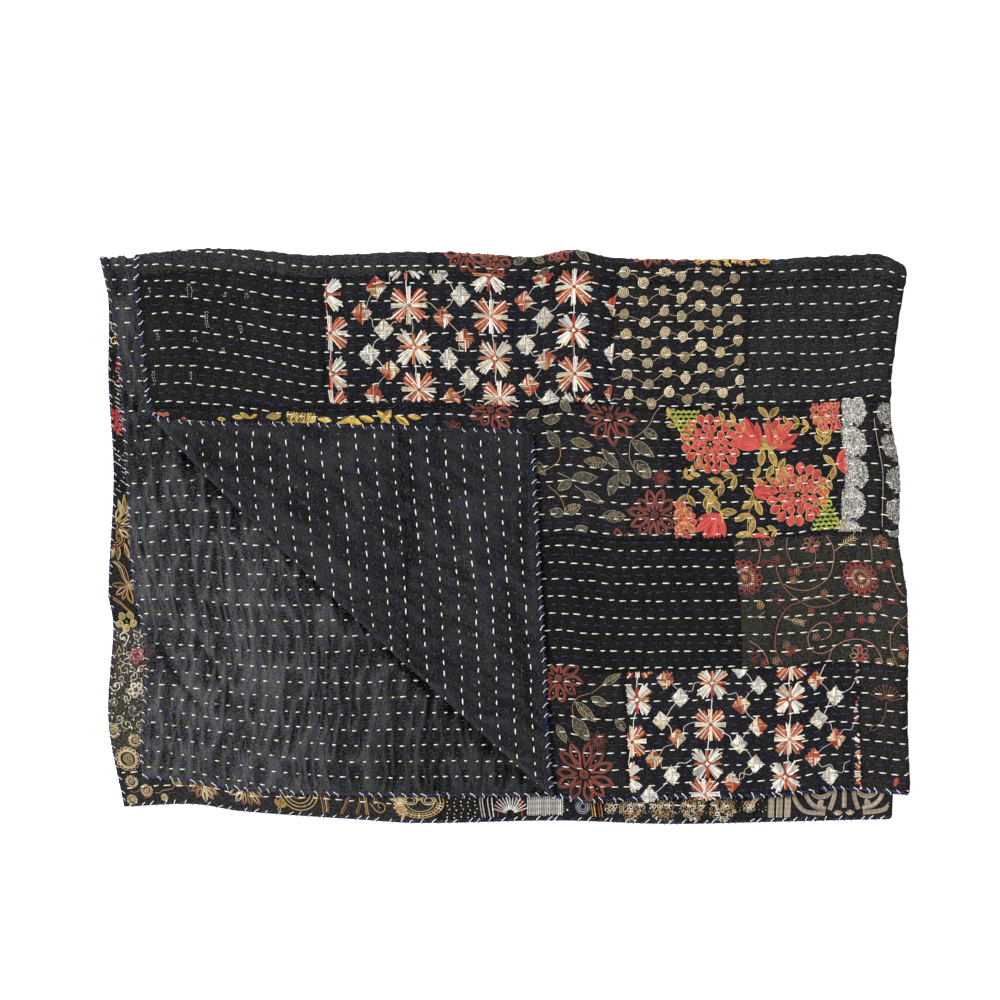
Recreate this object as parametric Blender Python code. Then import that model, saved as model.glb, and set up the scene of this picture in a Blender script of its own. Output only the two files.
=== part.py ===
"""A kantha quilt: a pieced face and a backing quilted together, folded in four, one corner turned back.

The flat quilt is folded twice. Its left and right halves are laid wrong side to wrong side, which makes
the side fold, and the doubled cloth is then folded under along the top fold. From the top down the stack
is layer 1 (face up), layer 2 (backing up), layer 3 (face up) and layer 4 (face down, on the surface). The
near left corner of layer 1 is turned back over it, so it shows the backing, as does layer 2 beside it.

A point of the flat quilt is (p, q): its signed distances from the side fold and from the top fold. p is
positive on the half that becomes layers 1 and 4, and q on the half that becomes layers 1 and 2.
"""

import math
from collections import namedtuple

import bmesh
import bpy

MM = 0.001

# The flat quilt, from the crossing of its two folds to its hems.
HALF_WIDTH = 890 * MM
HALF_DEPTH = 635 * MM

# Its two cloths, each taken as one solid, and the clearance between them.
FACE_THICK = 1.15 * MM
BACKING_THICK = 1.05 * MM
CLOTH_GAP = 0.3 * MM
QUILT_THICK = FACE_THICK + CLOTH_GAP + BACKING_THICK

# How the layers lie: half the pitch of two layers well away from a fold, and the folds' own radii.
HALF_PITCH = 1.95 * MM
SIDE_RADIUS = 4.0 * MM
TOP_RADIUS = 3.4 * MM
CORNER_RADIUS = 2.6 * MM
LOFT_RUN = 70 * MM  # a fold's extra height dies away over this distance
SLACK_LIFT = 3.6 * MM  # the most that layer 1 stands above a flat stack
LIFT_SHARES = {(1, 1): 1.0, (0, 1): 0.62, (0, 0): 0.28, (1, 0): 0.0}  # by (outer wrap, upper half)
LOWER_FOLD_INSET = 18 * MM  # how far the lower side fold ends inside the upper one, at the near end

# Outlines of the folded stack, seen from above, in mm. x runs right, y away from the near edge.
Place = namedtuple("Place", "x y")
TOP_FOLD = [
    Place(-468, 327), Place(-427, 326), Place(-365, 332), Place(-289, 331), Place(-225, 325),
    Place(-92, 329), Place(32, 323), Place(80, 331), Place(131, 321), Place(307, 320),
    Place(424, 325), Place(452, 314), Place(464, 304),
]
SIDE_FOLD = [
    Place(467, -297), Place(464, -219), Place(464, -81), Place(454, 0), Place(454, 74),
    Place(444, 143), Place(454, 248), Place(463, 304), Place(464, 330),
]
# Left hems, from the top fold down, then near hems, from left to right, by (outer wrap, upper half).
LEFT_HEMS = {
    (1, 1): [Place(-426, 326), Place(-425, 286), Place(-419, 227), Place(-412, 158), Place(-403, 135),
             Place(-367, -297)],
    (0, 1): [Place(-468, 327), Place(-450, 239), Place(-442, 158), Place(-435, 42), Place(-428, -60),
             Place(-415, -120), Place(-414, -160), Place(-420, -237), Place(-418, -278)],
    (0, 0): [Place(-468, 327), Place(-458, 274), Place(-458, 181), Place(-452, 71), Place(-458, -70),
             Place(-452, -97), Place(-458, -213), Place(-440, -312)],
    (1, 0): [Place(-426, 326), Place(-430, 158), Place(-436, -74), Place(-428, -300)],
}
NEAR_HEMS = {
    (1, 1): [Place(-367, -297), Place(58, -301), Place(96, -306), Place(209, -301), Place(321, -299),
             Place(378, -292), Place(467, -297)],
    (0, 1): [Place(-419, -278), Place(-367, -283), Place(-307, -292), Place(-186, -299), Place(52, -299),
             Place(226, -289), Place(467, -285)],
    (0, 0): [Place(-440, -312), Place(-360, -309), Place(-307, -317), Place(-168, -327), Place(-99, -331),
             Place(62, -328), Place(187, -332), Place(294, -330), Place(450, -326)],
    (1, 0): [Place(-428, -302), Place(-307, -307), Place(-99, -321), Place(450, -317)],
}
# The line on which the corner is turned back, from the left hem to the near hem, and how it bows out.
CORNER_FROM = Place(-401, 135)
CORNER_TO = Place(53, -299)
CORNER_BOW = 10 * MM
CORNER_BOW_AT = 0.3
CORNER_BOW_REACH = 110 * MM

# The slack in the stack: broad soft rises, each with its share of SLACK_LIFT.
Rise = namedtuple("Rise", "x y across deep share")
RISES = [
    Rise(-300, 205, 150, 90, 0.75), Rise(-40, 235, 120, 80, 0.45), Rise(215, 250, 130, 70, 0.7),
    Rise(385, 60, 100, 120, 0.9), Rise(170, 20, 120, 110, 0.5), Rise(-130, -40, 130, 110, 0.8),
    Rise(-330, -170, 110, 120, 0.9), Rise(250, -190, 140, 90, 0.75), Rise(30, -235, 120, 80, 0.5),
]

# The mesh: cells between the hems and the folds, and facets round a half turn. At the top fold one wrap
# lies inside the other, so both have their columns at the same places there, and the inner one has one more.
COLUMNS = 16
ROWS = 9
FOLD_FACETS = 6
SOLVING_PASSES = 8

SIDE_ARC = math.pi / 2 * SIDE_RADIUS
TOP_ARC = math.pi / 2 * (TOP_RADIUS + SIDE_RADIUS)
CORNER_ARC = math.pi * CORNER_RADIUS


def mix(low, high, share):
    return low + (high - low) * share


def soft_step(value):
    """0 below 0, 1 above 1, and a smooth S between."""
    t = min(1.0, max(0.0, value))
    return t * t * (3 - 2 * t)


def smooth_line(rows, at):
    """The height at a place along (place, height) rows, on a smooth curve through them, all in metres."""
    if at <= rows[0][0]:
        return rows[0][1]
    if at >= rows[-1][0]:
        return rows[-1][1]
    k = next(i for i in range(1, len(rows)) if rows[i][0] >= at)
    before, start, end, after = rows[max(k - 2, 0)], rows[k - 1], rows[k], rows[min(k + 1, len(rows) - 1)]
    step = end[0] - start[0]
    slope_in = (end[1] - before[1]) / (end[0] - before[0])
    slope_out = (after[1] - start[1]) / (after[0] - start[0])
    t = (at - start[0]) / step
    return (
        (2 * t**3 - 3 * t**2 + 1) * start[1]
        + (t**3 - 2 * t**2 + t) * slope_in * step
        + (3 * t**2 - 2 * t**3) * end[1]
        + (t**3 - t**2) * slope_out * step
    )


def rows_along_x(places):
    return sorted((place.x * MM, place.y * MM) for place in places)


def rows_along_y(places):
    return sorted((place.y * MM, place.x * MM) for place in places)


TOP_ROWS = rows_along_x(TOP_FOLD)
SIDE_ROWS = rows_along_y(SIDE_FOLD)
LEFT_ROWS = {layer: rows_along_y(places) for layer, places in LEFT_HEMS.items()}
NEAR_ROWS = {layer: rows_along_x(places) for layer, places in NEAR_HEMS.items()}


def blended(hems, outer, upper, at):
    """A hem's place, mixed from the four layers' hems. Only in a fold do more than one have a share."""
    total = 0.0
    for (wrap, half), rows in hems.items():
        share = (outer if wrap else 1 - outer) * (upper if half else 1 - upper)
        if share > 1e-9:
            total += share * smooth_line(rows, at)
    return total


def fold_and_run(distance, arc, half_length):
    """A signed distance from a fold as the turn round the fold, and the share of the way on to the hem."""
    turn = math.pi / 2 * min(1.0, max(-1.0, distance / arc))
    run = max(0.0, (abs(distance) - arc) / (half_length - arc))
    return turn, run


def plan_place(side_turn, side_run, top_turn, top_run):
    """The (x, y) over which a point lies, before the folds' own roundness is added."""
    outer, upper = (math.sin(side_turn) + 1) / 2, (math.sin(top_turn) + 1) / 2
    x = y = 0.0
    side_inside = SIDE_RADIUS + QUILT_THICK / 2
    top_inside = TOP_RADIUS + 2 * HALF_PITCH + QUILT_THICK / 2
    for _ in range(SOLVING_PASSES):
        right = smooth_line(SIDE_ROWS, y) - side_inside - (1 - upper) * LOWER_FOLD_INSET * top_run
        x = mix(right, blended(LEFT_ROWS, outer, upper, y), side_run)
        top = smooth_line(TOP_ROWS, x) - top_inside
        y = mix(top, blended(NEAR_ROWS, outer, upper, x), top_run)
    return x, y


def slack(x, y):
    """How far the stack's own slack lifts layer 1 at (x, y). It dies away at both folds."""
    total = 0.0
    for rise in RISES:
        far = math.hypot((x - rise.x * MM) / (rise.across * MM), (y - rise.y * MM) / (rise.deep * MM))
        total += rise.share * math.exp(-far * far)
    from_side, from_top = smooth_line(SIDE_ROWS, y) - x, smooth_line(TOP_ROWS, x) - y
    return SLACK_LIFT * total * soft_step(from_side / LOFT_RUN) * soft_step(from_top / LOFT_RUN)


def half_pitches(x, y):
    """Half the pitch of the layers that the side fold joins, and of the two layers inside the top fold."""
    from_side, from_top = smooth_line(SIDE_ROWS, y) - x, smooth_line(TOP_ROWS, x) - y
    side = mix(SIDE_RADIUS, HALF_PITCH, soft_step(from_side / LOFT_RUN))
    top = mix(TOP_RADIUS, HALF_PITCH, soft_step(from_top / LOFT_RUN))
    return side, top


def layer_1_height(x, y):
    """The middle of layer 1 above the surface."""
    side, top = half_pitches(x, y)
    return 4 * side + 2 * top + QUILT_THICK / 2 + slack(x, y)


def corner_frame():
    """The turned corner's fold line: its start, direction, the way out over the corner, and length."""
    start_x, start_y = CORNER_FROM.x * MM, CORNER_FROM.y * MM
    end_x, end_y = CORNER_TO.x * MM, CORNER_TO.y * MM
    length = math.hypot(end_x - start_x, end_y - start_y)
    along = ((end_x - start_x) / length, (end_y - start_y) / length)
    out = (along[1], -along[0])
    inside = CORNER_RADIUS + QUILT_THICK / 2
    return (start_x - out[0] * inside, start_y - out[1] * inside), along, out, length


CORNER_START, CORNER_ALONG, CORNER_OUT, CORNER_LENGTH = corner_frame()


def past_corner_fold(x, y):
    """How far (x, y) lies past the line where the corner starts to turn, negative on what stays flat."""
    return (x - CORNER_START[0]) * CORNER_OUT[0] + (y - CORNER_START[1]) * CORNER_OUT[1]


def bow(x, y):
    """The turned fold isn't quite straight: this is how far the cloth near it is pushed out."""
    run = (x - CORNER_START[0]) * CORNER_ALONG[0] + (y - CORNER_START[1]) * CORNER_ALONG[1]
    share = min(1.0, max(0.0, run / CORNER_LENGTH))
    skewed = share ** (math.log(0.5) / math.log(CORNER_BOW_AT))
    near = 1 - soft_step(abs(past_corner_fold(x, y)) / CORNER_BOW_REACH)
    return CORNER_BOW * math.sin(math.pi * skewed) * near


def turned_corner(x, y, off):
    """A point of layer 1's corner once it is turned back over the layer."""
    past = past_corner_fold(x, y)
    foot_x, foot_y = x - CORNER_OUT[0] * past, y - CORNER_OUT[1] * past
    if past < CORNER_ARC:
        angle = past / CORNER_RADIUS
        out = (CORNER_RADIUS - off) * math.sin(angle)
        up = CORNER_RADIUS - (CORNER_RADIUS - off) * math.cos(angle)
        base_x, base_y = foot_x, foot_y
    else:
        out = CORNER_ARC - past
        base_x, base_y = foot_x + CORNER_OUT[0] * out, foot_y + CORNER_OUT[1] * out
        up = 2 * mix(CORNER_RADIUS, HALF_PITCH, soft_step(-out / LOFT_RUN)) - off
    shift = out + bow(base_x, base_y)
    place_x, place_y = foot_x + CORNER_OUT[0] * shift, foot_y + CORNER_OUT[1] * shift
    return place_x, place_y, layer_1_height(base_x, base_y) + up


def lay(p, q, off):
    """Where a point of the flat quilt lies in the folded one. off is its height over the quilt's middle."""
    side_turn, side_run = fold_and_run(p, SIDE_ARC, HALF_WIDTH)
    top_turn, top_run = fold_and_run(q, TOP_ARC, HALF_DEPTH)
    x, y = plan_place(side_turn, side_run, top_turn, top_run)
    on_layer_1 = p >= SIDE_ARC and q >= TOP_ARC
    if on_layer_1 and past_corner_fold(x, y) > 0:
        return turned_corner(x, y, off)
    side, top = half_pitches(x, y)
    from_middle = (side + off) * math.sin(side_turn)
    radius = side + top + from_middle
    upper = int(top_turn > 0)
    lift = mix(LIFT_SHARES[0, upper], LIFT_SHARES[1, upper], (math.sin(side_turn) + 1) / 2) * slack(x, y)
    z = 2 * side + top + QUILT_THICK / 2 + radius * math.sin(top_turn) + lift
    if on_layer_1:
        shift = bow(x, y)
        x, y = x + CORNER_OUT[0] * shift, y + CORNER_OUT[1] * shift
    return x + (side + off) * math.cos(side_turn), y + radius * math.cos(top_turn), z


def mesh_lines(runs_before, runs_after, arc, half_length):
    """The flat quilt's mesh lines in one direction, from hem to hem, with the fold's facets between."""
    before = [-mix(arc, half_length, run) for run in reversed(runs_before)]
    fold = [mix(-arc, arc, i / FOLD_FACETS) for i in range(FOLD_FACETS + 1)]
    after = [mix(arc, half_length, run) for run in runs_after]
    return before + fold + after


def mesh_columns():
    """The mesh lines that cross the top fold. The inner wrap's run to where the outer wrap's hem lies."""
    side = SIDE_ROWS[-1][1] - SIDE_RADIUS - QUILT_THICK / 2
    outer_reach, inner_reach = side - LEFT_ROWS[1, 1][-1][1], side - LEFT_ROWS[0, 1][-1][1]
    outer_runs = [(i + 1) / COLUMNS for i in range(COLUMNS)]
    inner_runs = [run * outer_reach / inner_reach for run in outer_runs] + [1]
    return mesh_lines(inner_runs, outer_runs, SIDE_ARC, HALF_WIDTH)


def mesh_rows():
    runs = [(i + 1) / ROWS for i in range(ROWS)]
    return mesh_lines(runs, runs, TOP_ARC, HALF_DEPTH)


def past_turn(vert):
    """past_corner_fold of a flat vertex, or far on the staying side where the vertex isn't on layer 1."""
    p, q = vert.co.x, vert.co.y
    if p < SIDE_ARC - 1e-6 or q < TOP_ARC - 1e-6:
        return -1.0
    side_turn, side_run = fold_and_run(p, SIDE_ARC, HALF_WIDTH)
    top_turn, top_run = fold_and_run(q, TOP_ARC, HALF_DEPTH)
    return past_corner_fold(*plan_place(side_turn, side_run, top_turn, top_run))


def cut_along_turn(flat, level):
    """Cuts the flat mesh's faces along the curve that lies level past the corner's fold line."""
    value = {vert: past_turn(vert) - level for vert in flat.verts}
    crossed = [e for e in flat.edges if value[e.verts[0]] * value[e.verts[1]] < 0]
    on_line = {v for v, d in value.items() if d == 0}
    for edge in crossed:
        start = edge.verts[0]
        low, high = start.co.copy(), edge.verts[1].co.copy()
        new = bmesh.utils.edge_split(edge, start, 0.5)[1]
        for _ in range(20):  # halve the span until the new vertex is on the curve
            new.co = (low + high) / 2
            same_side = (past_turn(new) - level) * value[start] > 0
            low, high = (new.co.copy(), high) if same_side else (low, new.co.copy())
        on_line.add(new)
    for face in list(flat.faces):
        ends = [v for v in face.verts if v in on_line]
        if len(ends) == 2 and not flat.edges.get(ends):
            bmesh.utils.face_split(face, ends[0], ends[1])


def flat_quilt():
    """The flat quilt as a mesh of quads, cut where the turned corner bends."""
    flat = bmesh.new()
    across, down = mesh_columns(), mesh_rows()
    grid = [[flat.verts.new((p, q, 0)) for p in across] for q in down]
    for j in range(len(down) - 1):
        for i in range(len(across) - 1):
            flat.faces.new((grid[j][i], grid[j][i + 1], grid[j + 1][i + 1], grid[j + 1][i]))
    for step in range(FOLD_FACETS + 1):
        cut_along_turn(flat, CORNER_ARC * step / FOLD_FACETS)
    cut_along_turn(flat, CORNER_ARC + LOFT_RUN / 2)
    bmesh.ops.triangulate(flat, faces=[f for f in flat.faces if len(f.verts) != 4])
    return flat


def add_cloth(name, flat, low, high, material):
    """One cloth of the quilt as a closed solid, from low to high over the quilt's middle, facewards."""
    solid = bmesh.new()
    tops = {v: solid.verts.new(lay(v.co.x, v.co.y, high)) for v in flat.verts}
    bottoms = {v: solid.verts.new(lay(v.co.x, v.co.y, low)) for v in flat.verts}
    for face in flat.faces:
        solid.faces.new([tops[v] for v in face.verts])
        solid.faces.new([bottoms[v] for v in reversed(face.verts)])
    for edge in flat.edges:
        if edge.is_boundary:
            loop = edge.link_loops[0]
            start, end = loop.vert, loop.link_loop_next.vert
            solid.faces.new((tops[end], tops[start], bottoms[start], bottoms[end]))
    bmesh.ops.triangulate(solid, faces=solid.faces)
    bmesh.ops.recalc_face_normals(solid, faces=solid.faces)
    mesh = bpy.data.meshes.new(name)
    solid.to_mesh(mesh)
    solid.free()
    mesh.materials.append(material)
    cloth = bpy.data.objects.new(name, mesh)
    bpy.context.scene.collection.objects.link(cloth)
    mesh.shade_smooth()
    mesh.set_sharp_from_angle(angle=math.radians(40))
    return cloth


def cloth_material(name, colour, roughness):
    material = bpy.data.materials.new(name)
    material.use_nodes = True
    shader = material.node_tree.nodes["Principled BSDF"]
    shader.inputs["Base Color"].default_value = (*colour, 1)
    shader.inputs["Roughness"].default_value = roughness
    shader.inputs["Metallic"].default_value = 0
    return material


def main():
    for thing in list(bpy.data.objects):
        bpy.data.objects.remove(thing)
    flat = flat_quilt()
    face_top = QUILT_THICK / 2
    backing_bottom = -QUILT_THICK / 2
    add_cloth(
        "patchwork_face", flat, face_top - FACE_THICK, face_top,
        cloth_material("black_sari_patches", (0.018, 0.017, 0.019), 0.8),
    )
    add_cloth(
        "backing", flat, backing_bottom, backing_bottom + BACKING_THICK,
        cloth_material("charcoal_cotton", (0.043, 0.043, 0.047), 0.92),
    )
    flat.free()


main()
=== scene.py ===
# A kantha quilt folded in four: two cloths, the running stitches through them, whipped hems and embroidery.
import functools
import math

import bmesh
import bpy
import numpy as np
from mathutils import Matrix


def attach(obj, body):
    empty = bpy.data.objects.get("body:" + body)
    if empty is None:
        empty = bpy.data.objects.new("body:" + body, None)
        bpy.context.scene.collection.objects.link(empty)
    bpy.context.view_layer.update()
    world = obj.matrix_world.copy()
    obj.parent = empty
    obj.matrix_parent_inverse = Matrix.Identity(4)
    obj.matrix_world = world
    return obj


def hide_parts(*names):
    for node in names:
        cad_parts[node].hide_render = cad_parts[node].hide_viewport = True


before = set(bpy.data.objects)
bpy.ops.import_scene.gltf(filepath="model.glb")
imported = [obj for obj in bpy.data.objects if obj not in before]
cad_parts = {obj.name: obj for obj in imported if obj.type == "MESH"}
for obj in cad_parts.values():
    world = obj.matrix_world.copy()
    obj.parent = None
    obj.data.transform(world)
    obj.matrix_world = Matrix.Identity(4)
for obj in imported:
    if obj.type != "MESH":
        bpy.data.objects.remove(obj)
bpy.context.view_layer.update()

mm = 0.001      # everything below is in mm until it becomes a mesh
fullTurn = 2 * math.pi

# camera and studio
studio = {
    "over": (-5.8, 41.8),      # the point straight under the camera
    "across": 1160,            # what the frame takes in, side to side
    "lens": 85,
    "sensor": 36,
    "floorColour": "#f7f7f6",
    "floorGlow": 0.85,
    "room": 0.45,              # the room's own light
    "lamp": 3.3,
    "lampWidth": 24,           # degrees, for soft shadows
    "lampHeight": 38,          # degrees over the floor
    "lampSide": 253,           # the way it shines from
}


def linearColour(hexColour):
    channels = [int(hexColour[i:i + 2], 16) / 255 for i in (1, 3, 5)]
    return tuple(c / 12.92 if c <= 0.04045 else ((c + 0.055) / 1.055) ** 2.4 for c in channels)


def makeCamera():
    data = bpy.data.cameras.new("topCamera")
    data.lens = studio["lens"]
    data.sensor_width = studio["sensor"]
    data.clip_start, data.clip_end = 0.05, 50
    camera = bpy.data.objects.new("topCamera", data)
    height = studio["across"] * studio["lens"] / studio["sensor"]
    camera.location = (studio["over"][0] * mm, studio["over"][1] * mm, height * mm)
    bpy.context.scene.collection.objects.link(camera)
    bpy.context.scene.camera = camera


makeCamera()

# the folded stack: a point (p, q) of the flat quilt, and its place in the stack
# p is its distance from the side fold, positive on the half that lies outermost (layers 1 and 4).
# q is its distance from the top fold, positive on the half that lies on top (layers 1 and 2).
halfWidth, halfDepth = 890, 635
thick = 2.5             # one layer, both cloths together
halfPitch = 1.95        # half the pitch of two layers, away from the folds
sideRadius, topRadius, cornerRadius = 4.0, 3.4, 2.6      # of the bends at the three folds
loftRun = 70            # how far from a fold its loft reaches
slackLift = 3.6         # the highest that the layers rise off each other
lowerInset = 18         # how far the lower layers' side fold ends further in
sideArc = math.pi / 2 * sideRadius
topArc = math.pi / 2 * (topRadius + sideRadius)
cornerArc = math.pi * cornerRadius


def alongX(*places):
    return np.array(sorted(places), float)


def alongY(*places):
    return np.array(sorted((y, x) for x, y in places), float)


topFold = alongX(
    (-468, 327), (-427, 326), (-365, 332), (-289, 331), (-225, 325), (-92, 329), (32, 323),
    (80, 331), (131, 321), (307, 320), (424, 325), (452, 314), (464, 304))
sideFold = alongY(
    (467, -297), (464, -219), (464, -81), (454, 0), (454, 74), (444, 143), (454, 248),
    (463, 304), (464, 330))
# hems by (outer wrap, upper half)
leftHems = {
    (1, 1): alongY((-426, 326), (-425, 286), (-419, 227), (-412, 158), (-403, 135), (-367, -297)),
    (0, 1): alongY((-468, 327), (-450, 239), (-442, 158), (-435, 42), (-428, -60), (-415, -120),
                   (-414, -160), (-420, -237), (-418, -278)),
    (0, 0): alongY((-468, 327), (-458, 274), (-458, 181), (-452, 71), (-458, -70), (-452, -97),
                   (-458, -213), (-440, -312)),
    (1, 0): alongY((-426, 326), (-430, 158), (-436, -74), (-428, -300)),
}
nearHems = {
    (1, 1): alongX((-367, -297), (58, -301), (96, -306), (209, -301), (321, -299), (378, -292),
                   (467, -297)),
    (0, 1): alongX((-419, -278), (-367, -283), (-307, -292), (-186, -299), (52, -299), (226, -289),
                   (467, -285)),
    (0, 0): alongX((-440, -312), (-360, -309), (-307, -317), (-168, -327), (-99, -331), (62, -328),
                   (187, -332), (294, -330), (450, -326)),
    (1, 0): alongX((-428, -302), (-307, -307), (-99, -321), (450, -317)),
}
liftShares = {(1, 1): 1.0, (0, 1): 0.62, (0, 0): 0.28, (1, 0): 0.0}
# the turned corner's fold line, and how it bows out
cornerFrom, cornerTo = np.array((-401.0, 135.0)), np.array((53.0, -299.0))
cornerBow, cornerBowAt, cornerBowReach = 10, 0.3, 110
# broad soft rises in the stack: x, y, across, deep, share of slackLift
rises = [
    (-300, 205, 150, 90, 0.75), (-40, 235, 120, 80, 0.45), (215, 250, 130, 70, 0.7),
    (385, 60, 100, 120, 0.9), (170, 20, 120, 110, 0.5), (-130, -40, 130, 110, 0.8),
    (-330, -170, 110, 120, 0.9), (250, -190, 140, 90, 0.75), (30, -235, 120, 80, 0.5),
]

cornerLength = np.linalg.norm(cornerTo - cornerFrom)
cornerAlong = (cornerTo - cornerFrom) / cornerLength
cornerOut = np.array((cornerAlong[1], -cornerAlong[0]))
cornerStart = cornerFrom - cornerOut * (cornerRadius + thick / 2)


def mix(low, high, share):
    return low + (high - low) * share


def softStep(value):
    t = np.clip(value, 0, 1)
    return t * t * (3 - 2 * t)


def smoothLine(rows, at):
    # a smooth curve through (place, height) rows
    xs, ys = rows[:, 0], rows[:, 1]
    at = np.clip(at, xs[0], xs[-1])
    k = np.clip(np.searchsorted(xs, at), 1, len(xs) - 1)
    before, start, after = np.maximum(k - 2, 0), k - 1, np.minimum(k + 1, len(xs) - 1)
    step = xs[k] - xs[start]
    slopeIn = (ys[k] - ys[before]) / (xs[k] - xs[before])
    slopeOut = (ys[after] - ys[start]) / (xs[after] - xs[start])
    t = (at - xs[start]) / step
    return ((2 * t**3 - 3 * t**2 + 1) * ys[start] + (t**3 - 2 * t**2 + t) * slopeIn * step
            + (3 * t**2 - 2 * t**3) * ys[k] + (t**3 - t**2) * slopeOut * step)


def blended(hems, outer, upper, at):
    total = np.zeros_like(at)
    for (wrap, half), rows in hems.items():
        share = (outer if wrap else 1 - outer) * (upper if half else 1 - upper)
        used = share > 1e-9
        if used.any():
            total[used] += share[used] * smoothLine(rows, at[used])
    return total


def foldAndRun(distance, arc, halfLength):
    turn = math.pi / 2 * np.clip(distance / arc, -1, 1)
    return turn, np.maximum(0, (np.abs(distance) - arc) / (halfLength - arc))


def planPlace(sideTurn, sideRun, topTurn, topRun):
    outer, upper = (np.sin(sideTurn) + 1) / 2, (np.sin(topTurn) + 1) / 2
    x, y = np.zeros_like(outer), np.zeros_like(outer)
    sideInside = sideRadius + thick / 2
    topInside = topRadius + 2 * halfPitch + thick / 2
    for _ in range(8):
        right = smoothLine(sideFold, y) - sideInside - (1 - upper) * lowerInset * topRun
        x = mix(right, blended(leftHems, outer, upper, y), sideRun)
        top = smoothLine(topFold, x) - topInside
        y = mix(top, blended(nearHems, outer, upper, x), topRun)
    return x, y


def slack(x, y):
    total = np.zeros_like(x)
    for riseX, riseY, across, deep, share in rises:
        total += share * np.exp(-((x - riseX) / across) ** 2 - ((y - riseY) / deep) ** 2)
    fromSide, fromTop = smoothLine(sideFold, y) - x, smoothLine(topFold, x) - y
    return slackLift * total * softStep(fromSide / loftRun) * softStep(fromTop / loftRun)


def pastCorner(x, y):
    return (x - cornerStart[0]) * cornerOut[0] + (y - cornerStart[1]) * cornerOut[1]


def bowOut(x, y):
    run = (x - cornerStart[0]) * cornerAlong[0] + (y - cornerStart[1]) * cornerAlong[1]
    skewed = np.clip(run / cornerLength, 0, 1) ** (math.log(0.5) / math.log(cornerBowAt))
    near = 1 - softStep(np.abs(pastCorner(x, y)) / cornerBowReach)
    return cornerBow * np.sin(math.pi * skewed) * near


def plan(p, q):
    # everything about a flat point's place but its height over the quilt's middle
    p, q = np.asarray(p, float), np.asarray(q, float)
    sideTurn, sideRun = foldAndRun(p, sideArc, halfWidth)
    topTurn, topRun = foldAndRun(q, topArc, halfDepth)
    x, y = planPlace(sideTurn, sideRun, topTurn, topRun)
    layerOne = (p >= sideArc) & (q >= topArc)
    past = pastCorner(x, y)
    turned = layerOne & (past > 0)
    footX, footY = x - cornerOut[0] * past, y - cornerOut[1] * past
    inBend = past < cornerArc
    back = np.where(inBend, 0, cornerArc - past)
    x = np.where(turned, footX + cornerOut[0] * back, x)
    y = np.where(turned, footY + cornerOut[1] * back, y)
    fromSide, fromTop = smoothLine(sideFold, y) - x, smoothLine(topFold, x) - y
    side = mix(sideRadius, halfPitch, softStep(fromSide / loftRun))
    top = mix(topRadius, halfPitch, softStep(fromTop / loftRun))
    rise = slack(x, y)
    upper = topTurn > 0
    low = np.where(upper, liftShares[0, 1], liftShares[0, 0])
    high = np.where(upper, liftShares[1, 1], liftShares[1, 0])
    return {
        "p": p, "q": q, "x": x, "y": y, "sideTurn": sideTurn, "topTurn": topTurn, "side": side, "top": top,
        "turned": turned, "past": past, "inBend": inBend, "back": back, "footX": footX, "footY": footY,
        "bow": np.where(layerOne, bowOut(x, y), 0), "rise": rise,
        "lift": mix(low, high, (np.sin(sideTurn) + 1) / 2) * rise,
    }


def laid(spot, off):
    # the place of the planned points, off over the quilt's middle towards its patchwork side
    side, top = spot["side"], spot["top"]
    fromMiddle = (side + off) * np.sin(spot["sideTurn"])
    radius = side + top + fromMiddle
    x = spot["x"] + (side + off) * np.cos(spot["sideTurn"]) + cornerOut[0] * spot["bow"]
    y = spot["y"] + radius * np.cos(spot["topTurn"]) + cornerOut[1] * spot["bow"]
    z = 2 * side + top + thick / 2 + radius * np.sin(spot["topTurn"]) + spot["lift"]
    angle = spot["past"] / cornerRadius
    out = np.where(spot["inBend"], (cornerRadius - off) * np.sin(angle), spot["back"]) + spot["bow"]
    flatUp = 2 * mix(cornerRadius, halfPitch, softStep(-spot["back"] / loftRun)) - off
    up = np.where(spot["inBend"], cornerRadius - (cornerRadius - off) * np.cos(angle), flatUp)
    turnedX, turnedY = spot["footX"] + cornerOut[0] * out, spot["footY"] + cornerOut[1] * out
    turnedZ = 4 * side + 2 * top + thick / 2 + spot["rise"] + up
    turned = spot["turned"]
    return np.stack([
        np.where(turned, turnedX, x), np.where(turned, turnedY, y), np.where(turned, turnedZ, z)], axis=-1)


def underTurnedCorner(x, y, margin):
    # is this place of layer 1 covered by the turned corner, by at least the margin?
    past = pastCorner(x, y)
    far = cornerArc - 2 * past
    fromX, fromY = x + cornerOut[0] * far, y + cornerOut[1] * far
    pastLeft = fromX > smoothLine(leftHems[1, 1], fromY) + margin
    pastNear = fromY > smoothLine(nearHems[1, 1], fromX) + margin
    return pastLeft & pastNear & (past < 0)


# how far in mm a hidden layer is still sewn: past a fold, under the turned corner, along the left and the
# near hem of layer 3, and on the inner backing beside the corner and beside the hem
sewnOn = {
    "sideFold": 4, "topFold": 8, "underCorner": 9, "leftHem": 62, "nearHem": 58, "byCorner": 16, "byHem": 14}
bendShares = {"patchwork": 0.85, "backing": 0.2}      # of the corner's bend, where each turns out of sight


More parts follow.
